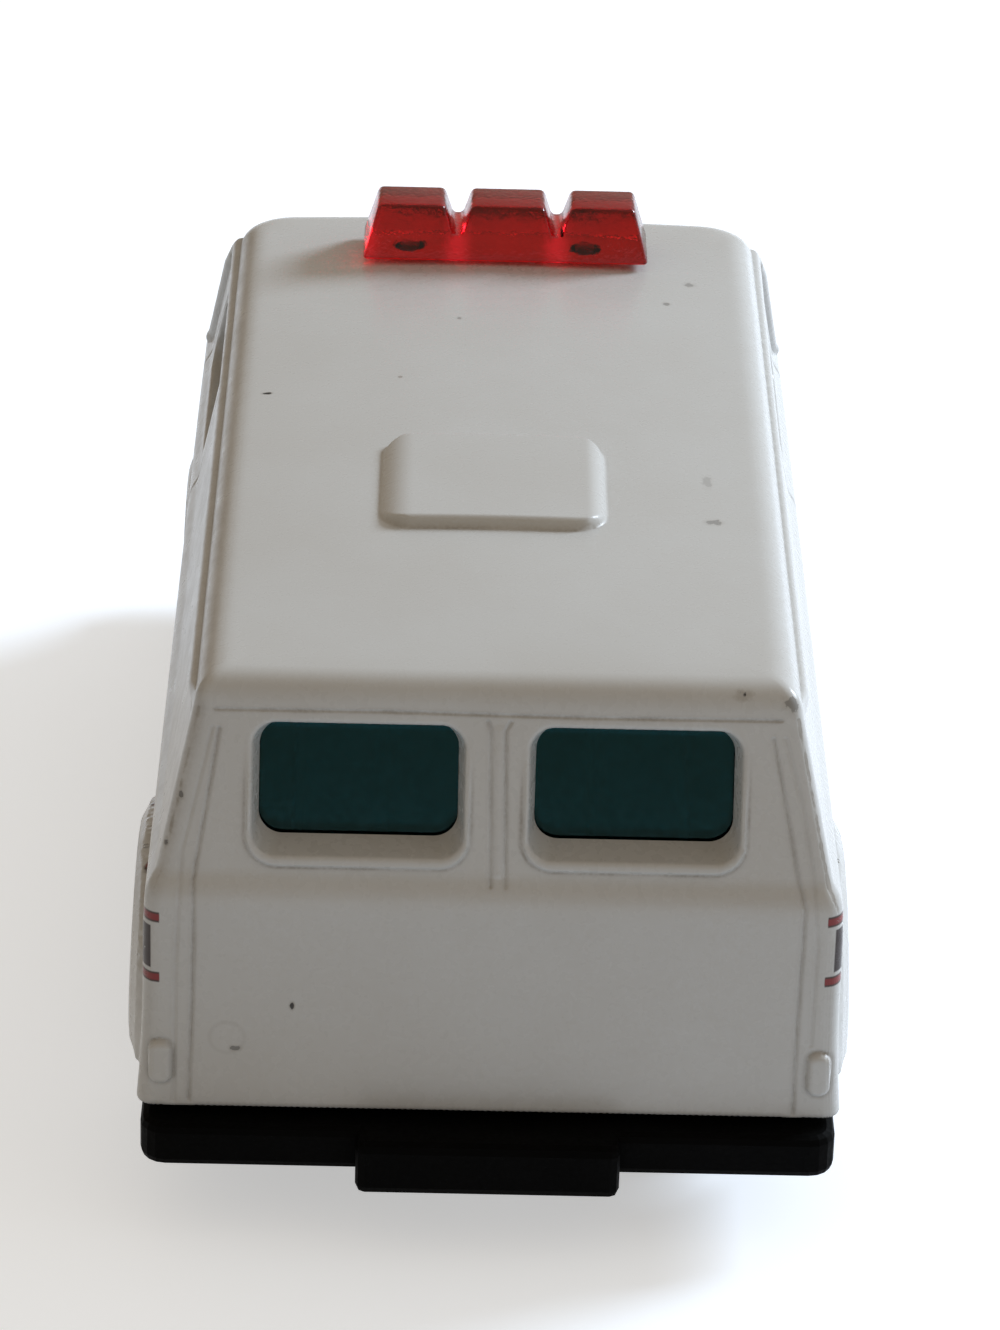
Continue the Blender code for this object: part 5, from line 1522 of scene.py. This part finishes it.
def enamelPaint():
    look = paintLook
    material, tree, shader, place = newMaterial("enamelPaint", Specular_IOR_Level=0.35)
    split = addNode(tree, "ShaderNodeSeparateXYZ")
    wire(tree, place, split.inputs[0])
    axes = split.outputs
    grain = placeGroup(tree, surfaceGrain, Vector=place, Broad=0.16, Fine=1.7)
    colour = blendColour(tree, grain["Tone"], look["white"], look["whiteWarm"])
    rubbed = noise(tree, place, 2.6, 5.0, 0.7)[0]
    rubbed = span(tree, rubbed, 0.30, 0.37)
    for up, half, tint in reversed(look["stripes"]):
        mask = mathNode(tree, "MULTIPLY", stripeMask(tree, axes, up, half, tint), rubbed)
        colour = blendColour(tree, mask, colour, look["stripeDark"] if tint else look["stripeEdge"])
        if not tint:
            mask = mathNode(tree, "MULTIPLY", stripeMask(tree, axes, up, half - 0.09, tint), rubbed)
            colour = blendColour(tree, mask, colour, look["stripeRed"])
    # this attribute holds settled dirt and also painted shade on the left flank and along the hatch's rear
    # foot
    cavity = addNode(tree, "ShaderNodeAttribute", attribute_name="grimeAndShade")
    wash = placeGroup(tree, grimeAndShadeWash, Vector=place, Cavity=cavity.outputs["Fac"], Amount=0.95)
    colour = blendColour(tree, wash["Mask"], colour, look["grimeAndShade"])
    specks = placeGroup(tree, dirtSpecks, Vector=place, Scale=0.30, Size=0.06)
    colour = blendColour(tree, mathNode(tree, "MULTIPLY", specks["Mask"], 0.5), colour, look["grimeAndShade"])
    scuffs = placeGroup(tree, scuffLines, Vector=place, Density=0.07)
    colour = blendColour(tree, scuffs["Mask"], colour, look["chipRim"])
    centre, radius, width = smudge
    away = addNode(tree, "ShaderNodeVectorMath", operation="DISTANCE")
    wire(tree, place, away.inputs[0])
    away.inputs[1].default_value = centre
    ring = mathNode(tree, "ABSOLUTE", mathNode(tree, "SUBTRACT", away.outputs["Value"], radius))
    ring = mathNode(tree, "MULTIPLY", span(tree, ring, width, 0.0), 0.10)
    colour = blendColour(tree, ring, colour, look["grimeAndShade"])
    worn = addNode(tree, "ShaderNodeAttribute", attribute_name="wear")
    flakes = noise(tree, place, 1.1, 4.0, 0.62)[0]
    flakes = span(tree, mathNode(tree, "MULTIPLY", worn.outputs["Fac"], flakes), 0.36, 0.52)
    colour = blendColour(tree, mathNode(tree, "MULTIPLY", flakes, 0.45), colour, look["chipRim"])
    for centre, stretch, radius, ragged, depth in paintMarks:
        mark = {"Centre": centre, "Stretch": stretch, "Radius": radius, "Ragged": ragged}
        chip = placeGroup(tree, spotChip, Vector=place, **mark)
        rim = mathNode(tree, "MULTIPLY", chip["Rim"], 0.35 * depth)
        colour = blendColour(tree, rim, colour, look["chipRim"])
        bare = mathNode(tree, "MULTIPLY", chip["Mask"], depth)
        colour = blendColour(tree, bare, colour, look["chip"])
        flakes = mathNode(tree, "MAXIMUM", flakes, mathNode(tree, "MULTIPLY", chip["Mask"], depth))
    rough = mathNode(tree, "MULTIPLY_ADD", grain["Gloss"], 0.08, look["roughness"] - 0.04)
    rough = mathNode(tree, "MULTIPLY_ADD", wash["Mask"], 0.35, rough)
    rough = mathNode(tree, "MULTIPLY_ADD", flakes, 0.3, rough)
    rough = mathNode(tree, "MINIMUM", rough, 1.0)
    height = mathNode(tree, "MULTIPLY_ADD", flakes, -3.0, grain["Height"])
    dressShader(tree, shader, colour, rough, height, look["peel"])
    return material


def bareCasting():
    material, tree, shader, place = newMaterial("bareCasting", Metallic=0.85)
    grain = placeGroup(tree, surfaceGrain, Vector=place, Broad=0.5, Fine=5.0)
    colour = blendColour(tree, grain["Tone"], (0.30, 0.30, 0.31), (0.42, 0.42, 0.42))
    rough = mathNode(tree, "MULTIPLY_ADD", grain["Gloss"], 0.2, 0.45)
    dressShader(tree, shader, colour, rough, grain["Height"], 0.03)
    return material


glazing = {
    "tint": (0.07, 0.36, 0.42),
    "tintDeep": (0.05, 0.30, 0.36),
    "mirror": 0.065,
    "mirrorTint": (0.34, 0.86, 0.98),
}


def smokedGlazing():
    material, tree, shader, place = newMaterial(
        "smokedGlazing", Transmission_Weight=1.0, IOR=1.49,
        Specular_IOR_Level=glazing["mirror"], Specular_Tint=glazing["mirrorTint"],
    )
    grain = placeGroup(tree, surfaceGrain, Vector=place, Broad=0.35, Fine=3.0)
    colour = blendColour(tree, grain["Tone"], glazing["tint"], glazing["tintDeep"])
    rough = mathNode(tree, "MULTIPLY_ADD", grain["Gloss"], 0.05, 0.05)
    dressShader(tree, shader, colour, rough, grain["Height"], 0.004)
    return material


def clearRed():
    material, tree, shader, place = newMaterial(
        "clearRed", Transmission_Weight=1.0, IOR=1.5, Specular_IOR_Level=0.04,
    )
    grain = placeGroup(tree, surfaceGrain, Vector=place, Broad=0.6, Fine=4.0)
    colour = blendColour(tree, grain["Tone"], lightBar["red"], lightBar["redDeep"])
    split = addNode(tree, "ShaderNodeSeparateXYZ")
    wire(tree, place, split.inputs[0])
    # painted glow: brighter red under the notches and at the left end of the lens
    for middle in lightBar["paintedGlowY"]:
        away = mathNode(tree, "ABSOLUTE", mathNode(tree, "SUBTRACT", split.outputs[1], middle))
        colour = blendColour(tree, span(tree, away, *lightBar["paintedGlowRun"]), colour, lightBar["paintedGlow"])
    scuffs = placeGroup(tree, scuffLines, Vector=place, Density=0.3)
    rough = mathNode(tree, "MULTIPLY_ADD", grain["Gloss"], 0.06, 0.10)
    rough = mathNode(tree, "MULTIPLY_ADD", scuffs["Mask"], 0.2, rough)
    dressShader(tree, shader, colour, rough, grain["Height"], 0.07)
    return material


def mouldedPlastic(name, dark, pale, roughness, bumpDepth, gloss=0.5, dusty=0.25):
    dust = (0.25, 0.22, 0.18)
    material, tree, shader, place = newMaterial(name, Specular_IOR_Level=gloss)
    grain = placeGroup(tree, surfaceGrain, Vector=place, Broad=0.45, Fine=5.0)
    colour = blendColour(tree, grain["Tone"], dark, pale)
    scuffs = placeGroup(tree, scuffLines, Vector=place, Density=0.5)
    colour = blendColour(tree, mathNode(tree, "MULTIPLY", scuffs["Mask"], dusty), colour, dust)
    specks = placeGroup(tree, dirtSpecks, Vector=place, Scale=0.9, Size=0.06)
    colour = blendColour(tree, mathNode(tree, "MULTIPLY", specks["Mask"], dusty), colour, dust)
    rough = mathNode(tree, "MULTIPLY_ADD", grain["Gloss"], 0.14, roughness - 0.07)
    rough = mathNode(tree, "MULTIPLY_ADD", scuffs["Mask"], 0.2, rough)
    dressShader(tree, shader, colour, rough, grain["Height"], bumpDepth)
    return material


def brightMetal(name, tone, roughness, rings=None):
    material, tree, shader, place = newMaterial(name, Metallic=1.0)
    grain = placeGroup(tree, surfaceGrain, Vector=place, Broad=0.8, Fine=7.0)
    dull = tuple(value * 0.72 for value in tone)
    colour = blendColour(tree, grain["Tone"], tone, dull)
    specks = placeGroup(tree, dirtSpecks, Vector=place, Scale=1.4, Size=0.09)
    colour = blendColour(tree, specks["Mask"], colour, (0.12, 0.10, 0.08))
    height = grain["Height"]
    if rings is not None:  # drawn or turned lines run round the piece
        stretched = scaled(tree, place, rings)
        lines = noise(tree, stretched, 1.0, 2.0, 0.5)[0]
        height = mathNode(tree, "ADD", height, mathNode(tree, "MULTIPLY", lines, 1.5))
    rough = mathNode(tree, "MULTIPLY_ADD", grain["Gloss"], 0.16, roughness - 0.08)
    dressShader(tree, shader, colour, rough, height, 0.012)
    return material


def lampClear():
    material, tree, shader, place = newMaterial("headlampPaint", Metallic=0.9)
    grain = placeGroup(tree, surfaceGrain, Vector=place, Broad=0.7, Fine=4.0)
    split = addNode(tree, "ShaderNodeSeparateXYZ")
    wire(tree, place, split.inputs[0])
    ribs = mathNode(tree, "SINE", mathNode(tree, "MULTIPLY", split.outputs[1], 9.0))
    colour = blendColour(tree, grain["Tone"], (0.62, 0.62, 0.63), (0.48, 0.48, 0.49))
    rough = mathNode(tree, "MULTIPLY_ADD", grain["Gloss"], 0.12, 0.16)
    height = mathNode(tree, "MULTIPLY_ADD", ribs, 0.8, grain["Height"])
    dressShader(tree, shader, colour, rough, height, 0.03)
    return material


def dressNode(node, material):
    item = frame["nodes"][node]
    for slot in item.material_slots:
        slot.material = material


# assembly

makeBody([enamelPaint(), bareCasting()])
makeLightBar(clearRed())
makeWheels([
    mouldedPlastic(
        "tyreBlack", (0.008, 0.008, 0.008), (0.014, 0.014, 0.014), 0.5, 0.02, gloss=0.2, dusty=0.1,
    ),
    brightMetal("hubFoil", (0.72, 0.72, 0.73), 0.22),
])
makeAxles(brightMetal("drawnWire", (0.60, 0.60, 0.61), 0.3, (0.6, 0.6, 14.0)))
makeRivets(brightMetal("rivetSteel", (0.56, 0.56, 0.57), 0.36))
makeNose(brightMetal("grilleSilver", (0.62, 0.62, 0.63), 0.34), lampClear())
baseBlack = mouldedPlastic(
    "baseBlack", (0.0012, 0.0012, 0.0012), (0.002, 0.002, 0.002), 0.55, 0.02, gloss=0.03, dusty=0.006,
)
dressNode("chassis_base", baseBlack)
dressNode("window_glazing", smokedGlazing())
dressNode("interior_tray", mouldedPlastic("trayGrey", (0.10, 0.10, 0.105), (0.15, 0.15, 0.155), 0.55, 0.03))
print("assembly: all pieces placed")
